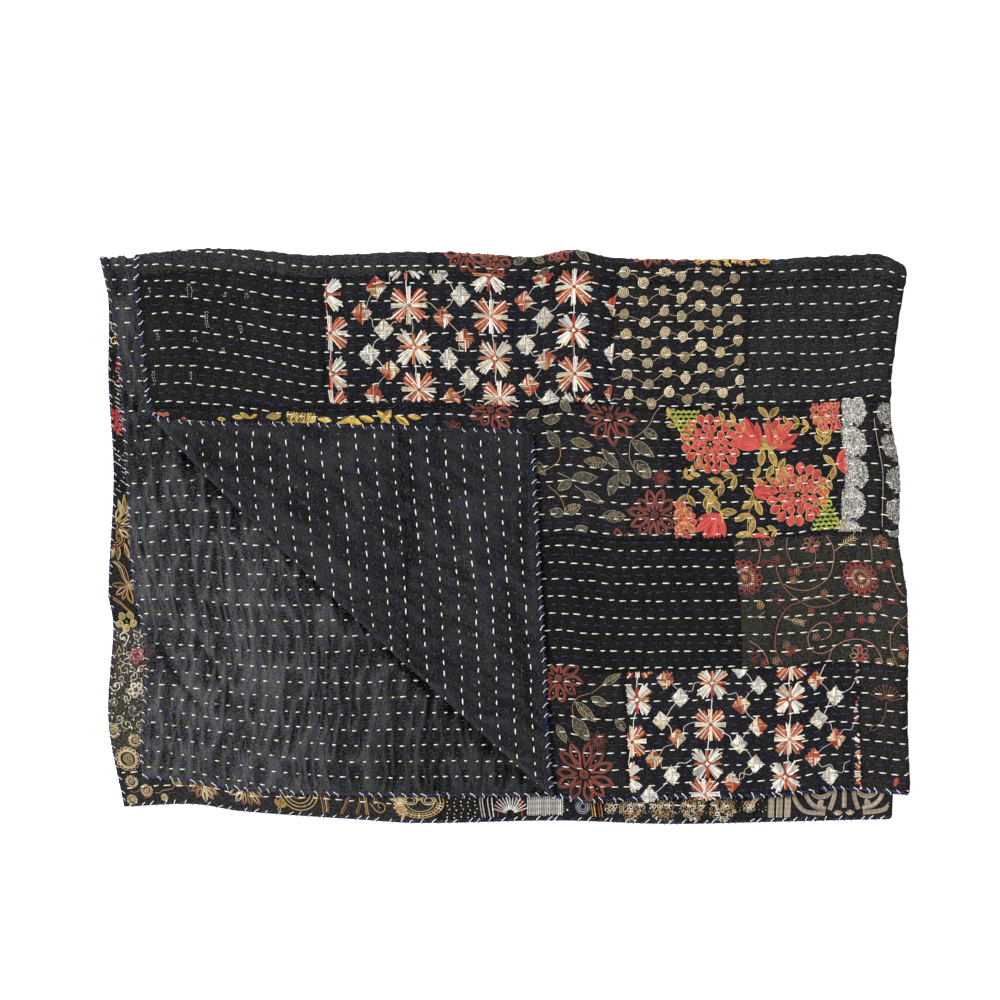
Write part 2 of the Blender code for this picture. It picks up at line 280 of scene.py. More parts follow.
def hidden(spot, skin):
    # True where nothing sewn on this side of the cloth can be seen, skin +1 patchwork, -1 backing
    p, q, x, y = spot["p"], spot["q"], spot["x"], spot["y"]
    outer, upper = p >= -sewnOn["sideFold"], q >= -sewnOn["topFold"]
    bendShare = bendShares["patchwork" if skin > 0 else "backing"]
    turned = spot["turned"] & (spot["past"] > cornerArc * bendShare)
    if skin > 0:
        covered = underTurnedCorner(x, y, sewnOn["underCorner"]) & ~spot["turned"]
        layerOne = outer & upper & (turned | covered)
        layerTwo = ~outer & upper
        inward = (p > sewnOn["leftHem"] - halfWidth) & (q > sewnOn["nearHem"] - halfDepth)
        layerThree = ~outer & ~upper & inward
        return layerOne | layerTwo | layerThree
    layerOne = outer & upper & ~turned
    byHem = x < smoothLine(leftHems[1, 1], y) + sewnOn["byHem"]
    layerTwo = ~outer & upper & ~((pastCorner(x, y) > -sewnOn["byCorner"]) | byHem)
    return layerOne | layerTwo | ~upper


# the patches and the rows of quilting
# each patch of the face: p from and to, q from and to, cloth colour
patches = {
    "topPlain": (553, 890, -122, 30, "#323132"),
    "topFlowers": (249, 553, -122, 30, "#232323"),
    "topSprays": (158, 249, -122, 12, "#212023"),
    "topRight": (-44, 158, -122, 30, "#282828"),
    "plainLeft": (676, 890, 30, 184, "#202021"),
    "stars": (337, 676, 30, 184, "#202023"),
    "dots": (176, 337, 12, 180, "#232223"),
    "plainRight": (-44, 176, 30, 176, "#282828"),
    "goldStrip": (548, 890, 184, 331, "#212022"),
    "flowers": (273, 548, 180, 331, "#232223"),
    "pompoms": (61, 273, 176, 331, "#201f21"),
    "scallops": (22, 61, 172, 331, "#242323"),
    "foldScallops": (-44, 22, 172, 331, "#272624"),
    "plainMiddle": (203, 890, 331, 485, "#1c1c1d"),
    "vines": (-44, 203, 331, 485, "#302f29"),
    "lowerFlowers": (345, 890, 485, 640, "#212021"),
    "lowerStars": (59, 345, 485, 640, "#212023"),
    "fan": (-44, 59, 485, 640, "#272525"),
}
# below the top fold and on the inner wrap the cloth is pieced plainly in the same rows
plainRows = [(-274, -122), (-426, -274), (-578, -426), (-640, -578)]
innerRows = [(-122, 30)] + plainRows + [(30, 176), (176, 331), (331, 485), (485, 640)]
plainTints = ["#262527", "#222123", "#2a2828", "#232325", "#282728"]
rowOffset = 31      # seams of every other row are this much further on
for row, (qLow, qHigh) in enumerate(plainRows):
    for number, (pLow, pHigh) in enumerate([(-44, 150), (150, 372), (372, 604), (604, 890)]):
        further = rowOffset * (row % 2)
        span = (pLow + further * (number > 0), pHigh + further * (number < 3))
        patches[f"under{row}{number}"] = (*span, qLow, qHigh, plainTints[(row * 3 + number * 2) % 5])
for row, (qLow, qHigh) in enumerate(innerRows):
    for number, (pLow, pHigh) in enumerate([(-890, -527), (-527, -342), (-342, -162), (-162, -44)]):
        patches[f"inner{row}{number}"] = (pLow, pHigh, qLow, qHigh, plainTints[(row + 2 * number) % 5])
patches["inner30"] = (*patches["inner30"][:4], "#46423c")
patches["inner40"] = (*patches["inner40"][:4], "#2f2e2d")

quilting = {
    "pitch": {1: 19.1, -1: 17.6},   # between white rows, on the outer and the inner wrap
    "stitch": 14.2,                 # from one stitch to the next
    "thread": 1.5,
    "waver": 0.7,                   # how far a row wavers by itself
    "short": 6,                     # rows end this far past the top fold
    "pointStep": 5.0,
}


def lattice(a, b, seed):
    # smooth noise from -1 to 1, one cell to each unit of a and b
    grid = np.random.default_rng(seed).uniform(-1, 1, (257, 257))
    i, j = np.floor(a).astype(int), np.floor(b).astype(int)
    s, t = a - i, b - j
    s, t = s * s * (3 - 2 * s), t * t * (3 - 2 * t)
    i, j = i % 256, j % 256
    low = mix(grid[i, j], grid[i + 1, j], s)
    return mix(low, mix(grid[i, j + 1], grid[i + 1, j + 1], s), t)


# where rows stray from straight: p, q, reach along p and q, drop in mm
rowDrifts = [
    (890, 60, 125, 170, -21), (62, 100, 50, 120, 6), (-6, 100, 36, 130, -8), (640, 130, 120, 120, 5),
    (-890, 610, 150, 85, -14), (-540, 360, 170, 210, -18), (200, 250, 160, 90, 3), (60, 560, 120, 100, -5),
    (420, 420, 130, 90, -3), (890, 430, 160, 150, -13),
]


def rowDrift(p, q):
    # a long and a short waver, a drop from the middle rows on, then the places above
    drift = 1.9 * lattice(p / 120, q / 160, 3) + 1.5 * lattice(p / 46, q / 70, 4)
    drift = drift + 6.6 * softStep((q - 325) / 150) * softStep((p + 40) / 60)
    for fromP, fromQ, reachP, reachQ, drop in rowDrifts:
        drift = drift + drop * np.exp(-((p - fromP) / reachP) ** 2 - ((q - fromQ) / reachQ) ** 2)
    return drift


def rowPhase(p, q):
    # whole numbers on white rows and halves on blue ones
    pitch = np.where(p > -20, quilting["pitch"][1], quilting["pitch"][-1])
    return (q - rowDrift(p, q)) / pitch


# relief: how the quilting and the folding have left each cloth
relief = {
    # ripples drawn up by the rows: width and length in mm, lean, height, and how far they stand up
    # and of the pinched lines on them: width, and how sharp they are
    "innerBacking": {
        "wide": 7.6, "long": 36, "lean": 0.05, "high": 3.9, "sunk": 2.1, "fine": 9.0, "sharp": 1.0},
    "corner": {"wide": 9.0, "long": 26, "lean": 0.6, "high": 2.4, "sunk": 1.2, "fine": 9.0, "sharp": 0.5},
    "face": {"wide": 8.5, "long": 34, "lean": 0.1, "high": 1.5, "sunk": 0.7, "fine": 10.0, "sharp": 0.45},
    "rest": {"wide": 12.0, "long": 60, "lean": 0.0, "high": 0.3, "sunk": 0.2, "fine": 9.0, "sharp": 0.3},
    "seamDepth": 0.7,
    "seamWidth": 2.6,
    "hemFade": 9,        # the relief fades out this close to a hem
    "pressed": 0.9,      # how far the underside is pressed in, so that its stitches lie flush
    "backingCreases": 1.4,
    "cornerCreases": 1.5,
    "deepest": 1.6,
}
# creases in the backing, seen from above: from x, y to x, y, half width, height (a trough is negative)
backingCreases = [
    (-399, -124, -354, -204, 3.2, -1.7), (-393, -112, -346, -196, 5.5, 1.0),
    (-377, -97, -312, -190, 3.4, -1.3), (-370, -90, -303, -181, 5.0, 0.9), (-388, 60, -366, -3, 3.5, -1.3),
    (-341, 64, -339, 1, 4.0, -1.8), (-316, 48, -309, 3, 3.6, -1.4), (-275, 5, -262, -34, 4.2, -1.6),
    (-303, 23, -294, -40, 5.0, 1.1), (-352, 100, -346, 12, 5.0, 0.8), (-255, -10, -238, -58, 4.0, -1.2),
    (-200, -62, -182, -112, 4.4, -1.5), (-168, -96, -150, -150, 4.2, -1.3),
    (-120, -140, -106, -196, 4.4, -1.4), (-92, -170, -76, -232, 4.2, -1.2),
    (-40, -214, -26, -262, 4.0, -1.3), (-455, 318, -420, 236, 3.6, -1.2), (-440, 322, -424, 268, 4.5, 0.9),
    (-436, 180, -424, 60, 3.4, -0.9), (-430, 40, -411, -80, 3.6, 0.8), (-322, -60, -330, -140, 4.0, -1.0),
    (-286, -40, -292, -128, 4.6, 0.9), (-240, -90, -250, -170, 4.2, -0.9),
    (-204, -130, -222, -232, 4.0, -1.0), (-150, -180, -158, -262, 4.6, 0.8),
    (-330, -200, -344, -268, 4.2, 0.8), (-112, -236, -126, -286, 4.0, -0.9),
]
# and in the patchwork, the same way
faceCreases = [
    (-405, 250, -380, 150, 5.0, 0.8), (-370, 300, -352, 190, 6.0, -0.7), (-300, 240, -286, 150, 6.0, 0.6),
    (455, 318, 330, 250, 6.0, 0.8), (458, 296, 360, 222, 5.0, -0.9), (450, 200, 392, 240, 5.0, -0.7),
    (90, 0, 100, -140, 5.0, -0.6), (120, 10, 138, -120, 6.0, 0.6), (420, -30, 452, -150, 6.0, 0.7),
    (300, -5, 322, -140, 7.0, 0.5), (200, 120, 214, 20, 6.0, -0.5), (440, -180, 400, -280, 6.0, -0.6),
    (-80, 300, -70, 210, 7.0, 0.5), (160, 300, 176, 200, 6.0, 0.5), (384, 120, 376, 20, 6.0, 0.5),
]
# folds in the turned corner's backing
cornerCreases = [
    (-390, 128, -250, 118, 5.0, 0.9), (-360, 104, -220, 20, 6.0, -0.8), (-300, 60, -150, -60, 7.0, 0.7),
    (-120, 140, -104, -40, 5.5, -0.8), (-96, 138, -84, -20, 6.0, 0.7), (20, 130, 30, -60, 6.0, -0.7),
    (-40, 40, -20, -150, 6.0, 0.8), (0, -60, 40, -230, 6.0, -0.8), (-180, 120, -160, 10, 6.0, 0.7),
    (34, 20, 48, -180, 5.0, 0.8),
]


def creased(x, y, creases):
    total = np.zeros_like(x)
    for fromX, fromY, toX, toY, wide, high in creases:
        length = math.hypot(toX - fromX, toY - fromY)
        wayX, wayY = (toX - fromX) / length, (toY - fromY) / length
        run = (x - fromX) * wayX + (y - fromY) * wayY
        bend = 0.035 * length * np.sin(run / length * 4.7 + fromX)
        away = (x - fromX) * -wayY + (y - fromY) * wayX - bend
        ends = softStep((run + 14) / 28) * softStep((length + 14 - run) / 28)
        total += high * ends * np.exp(-(away / wide) ** 2)
    return total


def seamValley(p, q):
    # the dip along every seam between patches
    nearest = np.full_like(p, 99.0)
    for pLow, pHigh, qLow, qHigh, _ in patches.values():
        inP, inQ = (p > pLow - 1) & (p < pHigh + 1), (q > qLow - 1) & (q < qHigh + 1)
        fromP = np.where(inQ, np.minimum(np.abs(p - pLow), np.abs(p - pHigh)), 99)
        fromQ = np.where(inP, np.minimum(np.abs(q - qLow), np.abs(q - qHigh)), 99)
        nearest = np.minimum(nearest, np.minimum(fromP, fromQ))
    return np.exp(-(nearest / relief["seamWidth"]) ** 2)


backingSeams = {"innerP": -822, "outerQ": 482, "outerP": 300, "width": 2.2}


def backingSeamValley(p, q):
    outerSeams = np.minimum(np.abs(q - backingSeams["outerQ"]), np.abs(p - backingSeams["outerP"]))
    away = np.where(p < 0, np.abs(p - backingSeams["innerP"]), outerSeams)
    return np.exp(-(away / backingSeams["width"]) ** 2)


def gathers(p, q, look):
    # ripples across the rows: narrow crests with broader troughs between them
    warp = 7 * lattice(p / 50, q / 55, 11) + 1.7 * lattice(p / 26, rowPhase(p, q) * 1.1, 16)
    across = p + look["lean"] * q + warp
    first = 1 - np.abs(lattice(across / look["wide"], q / look["long"], 12))
    second = 1 - np.abs(lattice((across + 40) / look["wide"] * 1.7, q / look["long"] * 1.6, 13))
    broad = lattice(across / look["wide"] / 2.4, q / look["long"] / 1.5, 14)
    crests = first ** 2.4 + 0.4 * second ** 3 + 0.12 * broad
    return np.maximum(look["high"] * crests - look["sunk"], -relief["deepest"])


def finePlace(spot, skin):
    # where the pinched lines are looked up: their width and length are one cell each, then how sharp they are
    p, q = spot["p"], spot["q"]
    place = np.zeros((len(p), 3))
    corner = spot["turned"]
    sorts = [("face", skin > 0), ("innerBacking", (skin < 0) & ~corner), ("corner", (skin < 0) & corner)]
    for name, here in sorts:
        look = relief[name]
        warp = 5 * lattice(p / 40, q / 45, 15) + 1.3 * lattice(p / 20, rowPhase(p, q), 17)
        across = p + look["lean"] * q + warp
        place[:, 0] = np.where(here, across / look["fine"], place[:, 0])
        place[:, 1] = np.where(here, q / look["long"] * 1.1, place[:, 1])
        place[:, 2] = np.where(here, look["sharp"], place[:, 2])
    return place


def heightOver(spot, skin):
    # relief over the cloth's own surface, outwards
    p, q = spot["p"], spot["q"]
    place = laid(spot, skin * thick / 2)
    x, y = place[:, 0], place[:, 1]
    outer, upper = p > -3, q > -6
    rest = gathers(p, q, relief["rest"])
    if skin < 0:
        past = pastCorner(x, y)
        showing = softStep((past + 4) / 20)
        showing = np.maximum(showing, softStep((smoothLine(leftHems[1, 1], y) - 2 - x) / 10))
        height = mix(0.4 * rest, gathers(p, q, relief["innerBacking"]), showing)
        height = height + relief["backingCreases"] * showing * creased(x, y, backingCreases)
        height = np.where(~outer & upper, height, rest)
        turned = gathers(p, q, relief["corner"]) + relief["cornerCreases"] * creased(x, y, cornerCreases)
        height = np.where(spot["turned"], np.where(spot["inBend"], 0.4, 1) * turned, height)
        height -= relief["seamDepth"] * backingSeamValley(p, q)
    else:
        top = gathers(p, q, relief["face"]) + creased(x, y, faceCreases)
        height = np.where(outer & upper & ~spot["turned"], top, rest)
        height -= relief["seamDepth"] * seamValley(p, q)
        resting = (p > 0) & (q < -12)
        height = np.where(resting, np.minimum(height, 0.1) * 0.6 - relief["pressed"], height)
    toHem = np.minimum(halfWidth - np.abs(p), halfDepth - np.abs(q))
    bend = np.where(spot["turned"] & spot["inBend"], 0.5, 1)
    return height * softStep(toHem / relief["hemFade"]) * bend


def onCloth(p, q, skin, above=0.0):
    # where a point over the cloth lies, the way up from it, and its plan
    spot = plan(p, q)
    off = skin * (thick / 2 + heightOver(spot, skin) + above)
    place = laid(spot, off)
    up = laid(spot, off + skin * 0.5) - place
    return place, up / np.linalg.norm(up, axis=1, keepdims=True), spot


# the two cloths, each a skin that rolls over the hems to meet the other
# (from, to, step) in mm of the mesh lines across and down each cloth, finer where the relief is seen
clothMesh = {
    "faceAcross": [(-halfWidth, -824, 3.5), (-824, -sideArc, 9.0), (sideArc, halfWidth, 3.5)],
    "faceDown": [(-halfDepth, -595, 3.6), (-595, -topArc, 12.5), (topArc, halfDepth, 4.4)],
    "backAcross": [(-halfWidth, -405, 2.2), (-405, -sideArc, 18), (sideArc, 430, 18), (430, halfWidth, 2.6)],
    "backDown": [(-halfDepth, -topArc, 20), (topArc, halfDepth, 4.4)],
    "foldAcross": (-sideArc, sideArc, sideArc / 5),
    "foldDown": (-topArc, topArc, 2.2),
    "hemRoll": 1.3,
    "bendLines": 5,
}


def setAttributes(mesh, attributes):
    # attributes: name to kind, field and values, one for each point
    for name, (kind, field, values) in attributes.items():
        attribute = mesh.attributes.new(name, kind, "POINT")
        attribute.data.foreach_set(field, np.ascontiguousarray(values, float).ravel())


def addObject(name, data):
    made = bpy.data.objects.new(name, data)
    bpy.context.scene.collection.objects.link(made)
    return made


def lines(*spans):
    # mesh lines from spans of (from, to, step), with the ends always on a line
    places = []
    for low, high, step in spans:
        places.extend(np.linspace(low, high, max(2, int(round((high - low) / step)) + 1)))
    return np.unique(np.round(places, 4))


def withSeams(places, seams, clearance):
    # a seam gets a mesh line of its own, in place of the nearest one
    places = np.array(places)
    for seam in seams:
        k = np.argmin(np.abs(places - seam))
        if abs(places[k] - seam) < clearance:
            places[k] = seam
    return np.unique(places)


def withHems(places, half):
    roll = clothMesh["hemRoll"]
    return np.concatenate([[-half - roll, -half - 0.75 * roll], places, [half + 0.75 * roll, half + roll]])


def clothLines(side, seamed):
    # mesh lines across and down one cloth; the patchwork has some on its seams
    both = []
    for way, half, column, clearance in (("Across", halfWidth, 0, 4), ("Down", halfDepth, 2, 5)):
        places = lines(*clothMesh[side + way], clothMesh["fold" + way])
        if seamed:
            seams = sorted({v for row in patches.values() for v in row[column:column + 2]})
            places = withSeams(places, seams, clearance)
        both.append(withHems(places, half))
    return both


def cutAtLevels(flat, levels):
    # cuts the flat mesh along lines of equal distance past the corner's fold, so its bend is even
    flat.verts.ensure_lookup_table()
    spot = plan([v.co.x for v in flat.verts], [v.co.y for v in flat.verts])
    onTop = (spot["p"] >= sideArc) & (spot["q"] >= topArc)
    past = list(np.where(onTop, spot["past"], -50.0))
    for level in levels:
        crossed = []
        for edge in flat.edges:
            a, b = past[edge.verts[0].index] - level, past[edge.verts[1].index] - level
            if a * b < 0 and min(past[edge.verts[0].index], past[edge.verts[1].index]) > -40:
                crossed.append((edge, a / (a - b)))
        fresh = {}      # keeps its order, so the faces are split in the same order on every run
        for edge, share in crossed:
            new = bmesh.utils.edge_split(edge, edge.verts[0], share)[1]
            new.index = len(past)
            past.append(level)
            fresh[new] = level
        for face in dict.fromkeys(face for vert in fresh for face in vert.link_faces):
            ends = [v for v in face.verts if v in fresh]
            if len(ends) == 2 and not flat.edges.get(ends):
                bmesh.utils.face_split(face, ends[0], ends[1])
    bmesh.ops.triangulate(flat, faces=[f for f in flat.faces if len(f.verts) != 4])


def flatMesh(across, down):
    flat = bmesh.new()
    corners = [[flat.verts.new((p, q, 0)) for p in across] for q in down]
    for j in range(len(down) - 1):
        for i in range(len(across) - 1):
            flat.faces.new((corners[j][i], corners[j][i + 1], corners[j + 1][i + 1], corners[j + 1][i]))
    flat.verts.index_update()
    cutAtLevels(flat, np.linspace(0, cornerArc, clothMesh["bendLines"] + 1))
    mesh = bpy.data.meshes.new("flat")
    flat.to_mesh(mesh)
    flat.free()
    return mesh


def makeCloth(name, skin, across, down, material):
    mesh = flatMesh(across, down)
    mesh.name = name
    count = len(mesh.vertices)
    flatPlace = np.empty(count * 3)
    mesh.vertices.foreach_get("co", flatPlace)
    p, q = flatPlace.reshape(-1, 3)[:, 0], flatPlace.reshape(-1, 3)[:, 1]
    spot = plan(p, q)
    beyond = np.hypot(np.maximum(np.abs(p) - halfWidth, 0), np.maximum(np.abs(q) - halfDepth, 0))
    rolled = np.sqrt(np.clip(1 - (beyond / clothMesh["hemRoll"]) ** 2, 0, 1))
    height = heightOver(spot, skin)
    place = laid(spot, skin * (thick / 2 * rolled + height))
    place[:, 2] = np.maximum(place[:, 2], 0.0)
    mesh.vertices.foreach_set("co", (place * mm).ravel())

    corner = np.empty(len(mesh.loops), int)
    mesh.loops.foreach_get("vertex_index", corner)
    flatMap = mesh.uv_layers.new(name="flatCloth")      # the flat quilt in metres
    flatMap.data.foreach_set("uv", np.stack([p[corner], q[corner]], axis=1).ravel() * mm)

    seams = backingSeamValley(p, q) if skin < 0 else seamValley(p, q)
    # paler on the ridges, partly faded and partly painted highlight, with painted shade in the troughs and
    # along the seams
    wearAndPaintedLight = np.clip((height - 0.2) / 1.5, -1, 1) - 0.7 * seams
    if skin < 0:
        # painted highlight along the corner's fold, with some rubbed paleness, and painted shade in the
        # crevice beside it
        onFold = 1 - softStep(np.abs(spot["past"] - cornerArc * 0.75) / 5)
        wearAndPaintedLight += np.where(spot["turned"], 0.9 * onFold, 0)
        beside = np.exp(-((pastCorner(place[:, 0], place[:, 1]) - 13) / 7) ** 2)
        wearAndPaintedLight -= np.where(~spot["turned"] & (p < 0), 1.3 * beside, 0)
    setAttributes(mesh, {
        "rowPhase": ("FLOAT", "value", rowPhase(p, q)),
        "finePlace": ("FLOAT_VECTOR", "vector", finePlace(spot, skin)),
        "wearAndPaintedLight": ("FLOAT", "value", wearAndPaintedLight)})

    starts, totals = np.empty(len(mesh.polygons), int), np.empty(len(mesh.polygons), int)
    mesh.polygons.foreach_get("loop_start", starts)
    mesh.polygons.foreach_get("loop_total", totals)
    middle = [np.add.reduceat(flat[corner], starts) / totals for flat in (p, q)]
    tint = clothTint(*middle, skin)
    colours = mesh.color_attributes.new("clothTint", "FLOAT_COLOR", "CORNER")
    colours.data.foreach_set("color", np.repeat(tint, totals, axis=0).ravel())

    mesh.materials.append(material)
    mesh.shade_smooth()
    # the skin has to face away from the quilt's middle
    face = max(mesh.polygons, key=lambda f: f.area)
    ends = [place[v] for v in face.vertices[:3]]
    here = {key: values[list(face.vertices)[:1]] for key, values in spot.items()}
    over = laid(here, skin * (thick / 2 + 1.0))[0] - ends[0]
    if np.dot(np.cross(ends[1] - ends[0], ends[2] - ends[0]), over) < 0:
        mesh.flip_normals()
    return addObject(name, mesh)


def clothTint(p, q, skin):
    tint = np.ones((len(p), 4))
    if skin < 0:
        inner, outer = (linearColour(backingLook[wrap]) for wrap in ("inner", "outer"))
        tint[:, :3] = np.where((p < 0)[:, None], inner, outer)
        # darker from the left hem inwards and towards the top fold, and on the outer wrap darker from q of
        # 200 on
        darkerInward = (1 - 0.6 * softStep((p + 840) / 370)) * (0.68 + 0.32 * softStep((q - 250) / 200))
        tint[:, :3] *= np.where(p < 0, darkerInward, 1 - 0.14 * softStep((q - 200) / 120))[:, None]
        return tint
    tint[:, :3] = linearColour("#2c2c2e")
    for pLow, pHigh, qLow, qHigh, colour in patches.values():
        inside = (p >= pLow) & (p < pHigh) & (q >= qLow) & (q < qHigh)
        tint[inside, :3] = linearColour(colour)
    return tint


# materials
backingLook = {"inner": "#454548", "outer": "#2d2d30"}


def findSocket(sockets, key):
    if isinstance(key, int):
        return sockets[key]
    return next(s for s in sockets if s.identifier == key or (s.name == key and s.enabled))


def addNode(tree, kind, *inputs, out=0, **settings):
    # adds a node with its settings and links, and gives back one outlet. Inputs are in order or by name, and
    # kind leaves out ShaderNode and may name the operation after a colon
    kind, _, operation = kind.partition(":")
    node = tree.nodes.new(kind if "Node" in kind else "ShaderNode" + kind)
    for name, value in (settings | ({"operation": operation} if operation else {})).items():
        setattr(node, name, value)
    byKey = inputs[0] if inputs and isinstance(inputs[0], dict) else dict(enumerate(inputs))
    for key, value in byKey.items():
        if isinstance(value, bpy.types.NodeSocket):
            tree.links.new(value, findSocket(node.inputs, key))
        else:
            findSocket(node.inputs, key).default_value = value
    return findSocket(node.outputs, out) if node.outputs else node


def startMaterial(name, look, specular):
    material = bpy.data.materials.new(name)
    material.use_nodes = True
    shader = material.node_tree.nodes["Principled BSDF"]
    values = {"Roughness": look["roughness"], "IOR": 1.5, "Specular IOR Level": specular,
              "Sheen Weight": look["sheen"], "Sheen Roughness": 0.6}
    for key, value in values.items():
        shader.inputs[key].default_value = value

    def finish(colour, normal):
        material.node_tree.links.new(colour, shader.inputs["Base Color"])
        material.node_tree.links.new(normal, shader.inputs["Normal"])
        return material

    return functools.partial(addNode, material.node_tree), finish


# patterns of the cloth: the size of a feature in mm along and across the rows, detail and roughness
clothPatterns = {
    "blotch": (90, 110, 3, 0.55),
    "streak": (9, 60, 2, 0.5),
    "lint": (2.4, 2.1, 2, 0.7),         # real fibres are finer, drawn at two millimetres to show
    "pinched": (42, 50, 1, 0.5),
    "warmth": (13, 17, 4, 0.65),
    "fadedSpots": (5.5, 4.5, 1, 0.5),
    "gather": (5.5, 15, 2, 0.6),
}


def clothMaterial(name, look):
    # Plain-woven cotton, washed soft: matte, paler on its ridges from fading and painted highlight, with
    # painted shade in its troughs, seams and crevices, with lint, drawn in along each row.
    add, finish = startMaterial(name, look, 0.05)
    flat = add("UVMap", uv_map="flatCloth")
    tint, wearAndPaintedLight, phase, fineAt = (add("Attribute", attribute_name=label, out=out) for label, out in (
        ("clothTint", "Color"), ("wearAndPaintedLight", "Fac"), ("rowPhase", "Fac"), ("finePlace", "Vector")))
    noise = {}
    for pattern, (sizeP, sizeQ, detail, rough) in clothPatterns.items():
        scaled = add("Mapping", {"Vector": flat, "Scale": (1000 / sizeP, 1000 / sizeQ, 1)})
        noise[pattern] = add("TexNoise", {"Vector": scaled, "Scale": 1.0, "Detail": detail,
                                          "Roughness": rough})

    value = add("Math:MULTIPLY_ADD", noise["blotch"], look["blotch"], 1 - look["blotch"] / 2)
    for pattern in ("streak", "lint"):
        value = add("Math:MULTIPLY_ADD", add("Math:SUBTRACT", noise[pattern], 0.5), look[pattern], value)
    # fading and painted highlight on the ridges and along the corner's fold, painted shade in the troughs,
    # the seams and the crevice
    value = add("Math:MULTIPLY_ADD", wearAndPaintedLight, look["wearAndPaintedLight"], add("Math:MAXIMUM", value, 0.2))
    # pinched lines: thin raised creases where the noise crosses its middle, in some places and not in others
    fine = add("TexNoise", {"Vector": fineAt, "Scale": 1.0, "Detail": 1.0, "Roughness": 0.4})
    fromLine = add("Math:ABSOLUTE", add("Math:SUBTRACT", fine, 0.5))
    line = add("MapRange", {"Value": fromLine, "From Max": look["pinch"]}, interpolation_type="SMOOTHSTEP")
    there = add("MapRange", {"Value": noise["pinched"], "From Min": 0.40, "From Max": 0.58})
    there = add("Math:MULTIPLY", there, add("SeparateXYZ", fineAt, out="Z"))
    ripple = add("Math:MULTIPLY", add("Math:SUBTRACT", 1.0, line), there)
    # the pinched lines' crests painted paler, partly faded and partly painted highlight, so the cloth between
    # them reads as painted shade
    value = add("Math:MULTIPLY_ADD", ripple, look["trough"], value)
    warmth = add("MapRange", {"Value": noise["warmth"], "From Min": 0.36, "From Max": 0.64})
    cool, warm = (0.9, 0.96, 1.1, 1), (1.1, 1.04, 0.84, 1)
    mottled = add("Mix", {"Factor_Float": warmth, "A_Color": cool, "B_Color": warm},
                  data_type="RGBA", out="Result_Color")
    tint = add("VectorMath:MULTIPLY", tint, mottled)
    fadedSpot = add("MapRange", {"Value": noise["fadedSpots"], "From Min": 0.68, "From Max": 0.76,
                                 "To Max": look["faded"]})
    tint = add("VectorMath:SCALE", {0: tint, "Scale": value})
    pale = (*linearColour("#7c7660"), 1)
    spotted = add("Mix", {"Factor_Float": fadedSpot, "A_Color": tint, "B_Color": pale},
                  data_type="RGBA", out="Result_Color")

    # bump: the valleys of the white and the blue rows, the gathers between stitches, then the weave
    valleys = []
    for place in (add("Math:ADD", phase, 0.5), phase):
        fromRow = add("Math:ABSOLUTE", add("Math:SUBTRACT", add("Math:FRACT", place), 0.5))
        nearness = add("Math:SUBTRACT", 1.0, add("Math:MULTIPLY", fromRow, 2.0))
        valleys.append(add("Math:POWER", nearness, 5.0))
    height = add("Math:MULTIPLY", noise["gather"], look["gather"])
    height = add("Math:MULTIPLY_ADD", ripple, look["ripple"], height)
    height = add("Math:MULTIPLY_ADD", valleys[0], -look["valley"], height)
    height = add("Math:MULTIPLY_ADD", valleys[1], -0.5 * look["valley"], height)
    rough = add("Bump", {"Height": height, "Distance": mm, "Strength": 1.0})
    warp, weft = (add("TexWave", {"Vector": flat, "Scale": 1000 / look["weave"] / fullTurn, "Distortion": 1.5,
                                  "Detail": 1.0}, bands_direction=way, out="Fac") for way in "XY")
    weave = add("Math:MULTIPLY", warp, weft)
    bump = add("Bump", {"Height": weave, "Distance": 0.12 * mm, "Strength": 0.7, "Normal": rough})
    return finish(spotted, bump)


def threadMaterial(name, look):
    # Stranded cotton thread: soft matte fibre with the twist of its plies showing as fine bands.
    add, finish = startMaterial(name, look, 0.2)
    tint = add("RGB") if look["colour"] else add("Attribute", attribute_name="tint", out="Color")
    if look["colour"]:
        tint.default_value = (*linearColour(look["colour"]), 1)
    fuzz = add("TexNoise", {"Vector": add("TexCoord", out="Object"), "Scale": 1000 / 4.0, "Detail": 3.0})
    value = add("Math:MULTIPLY_ADD", fuzz, look["vary"], 1 - look["vary"] / 2)
    along = add("Attribute", attribute_name="along", out="Fac")
    ply = add("Math:SINE", add("Math:MULTIPLY", along, fullTurn * 1000 / look["twist"]))
    return finish(add("VectorMath:SCALE", {0: tint, "Scale": value}),
                  add("Bump", {"Height": ply, "Distance": 0.1 * mm, "Strength": 0.6}))


# trough sets the painted highlight on the pinched lines' crests; wearAndPaintedLight sets fading with painted
# light and shade
clothLooks = {
    "face": {
        "roughness": 0.9, "sheen": 0.01, "blotch": 0.35, "streak": 0.25, "lint": 5.6, "wearAndPaintedLight": 0.35,
        "faded": 0.2, "gather": 1.0, "ripple": 0.9, "pinch": 0.06, "trough": 0.15, "valley": 0.6,
        "weave": 0.8},
    "backing": {
        "roughness": 0.92, "sheen": 0.01, "blotch": 0.3, "streak": 0.2, "lint": 4.2, "wearAndPaintedLight": 0.5,
        "faded": 0.5, "gather": 1.2, "ripple": 1.2, "pinch": 0.06, "trough": 0.3, "valley": 0.6,
        "weave": 0.8},
}
threadLooks = {
    "white": {"colour": "#fbfaf7", "roughness": 0.7, "sheen": 0.1, "vary": 0.08, "twist": 1.1},
    "blue": {"colour": "#383c78", "roughness": 0.8, "sheen": 0.1, "vary": 0.5, "twist": 1.1},
    "embroidery": {"colour": "", "roughness": 0.6, "sheen": 0.15, "vary": 0.4, "twist": 1.2},
}

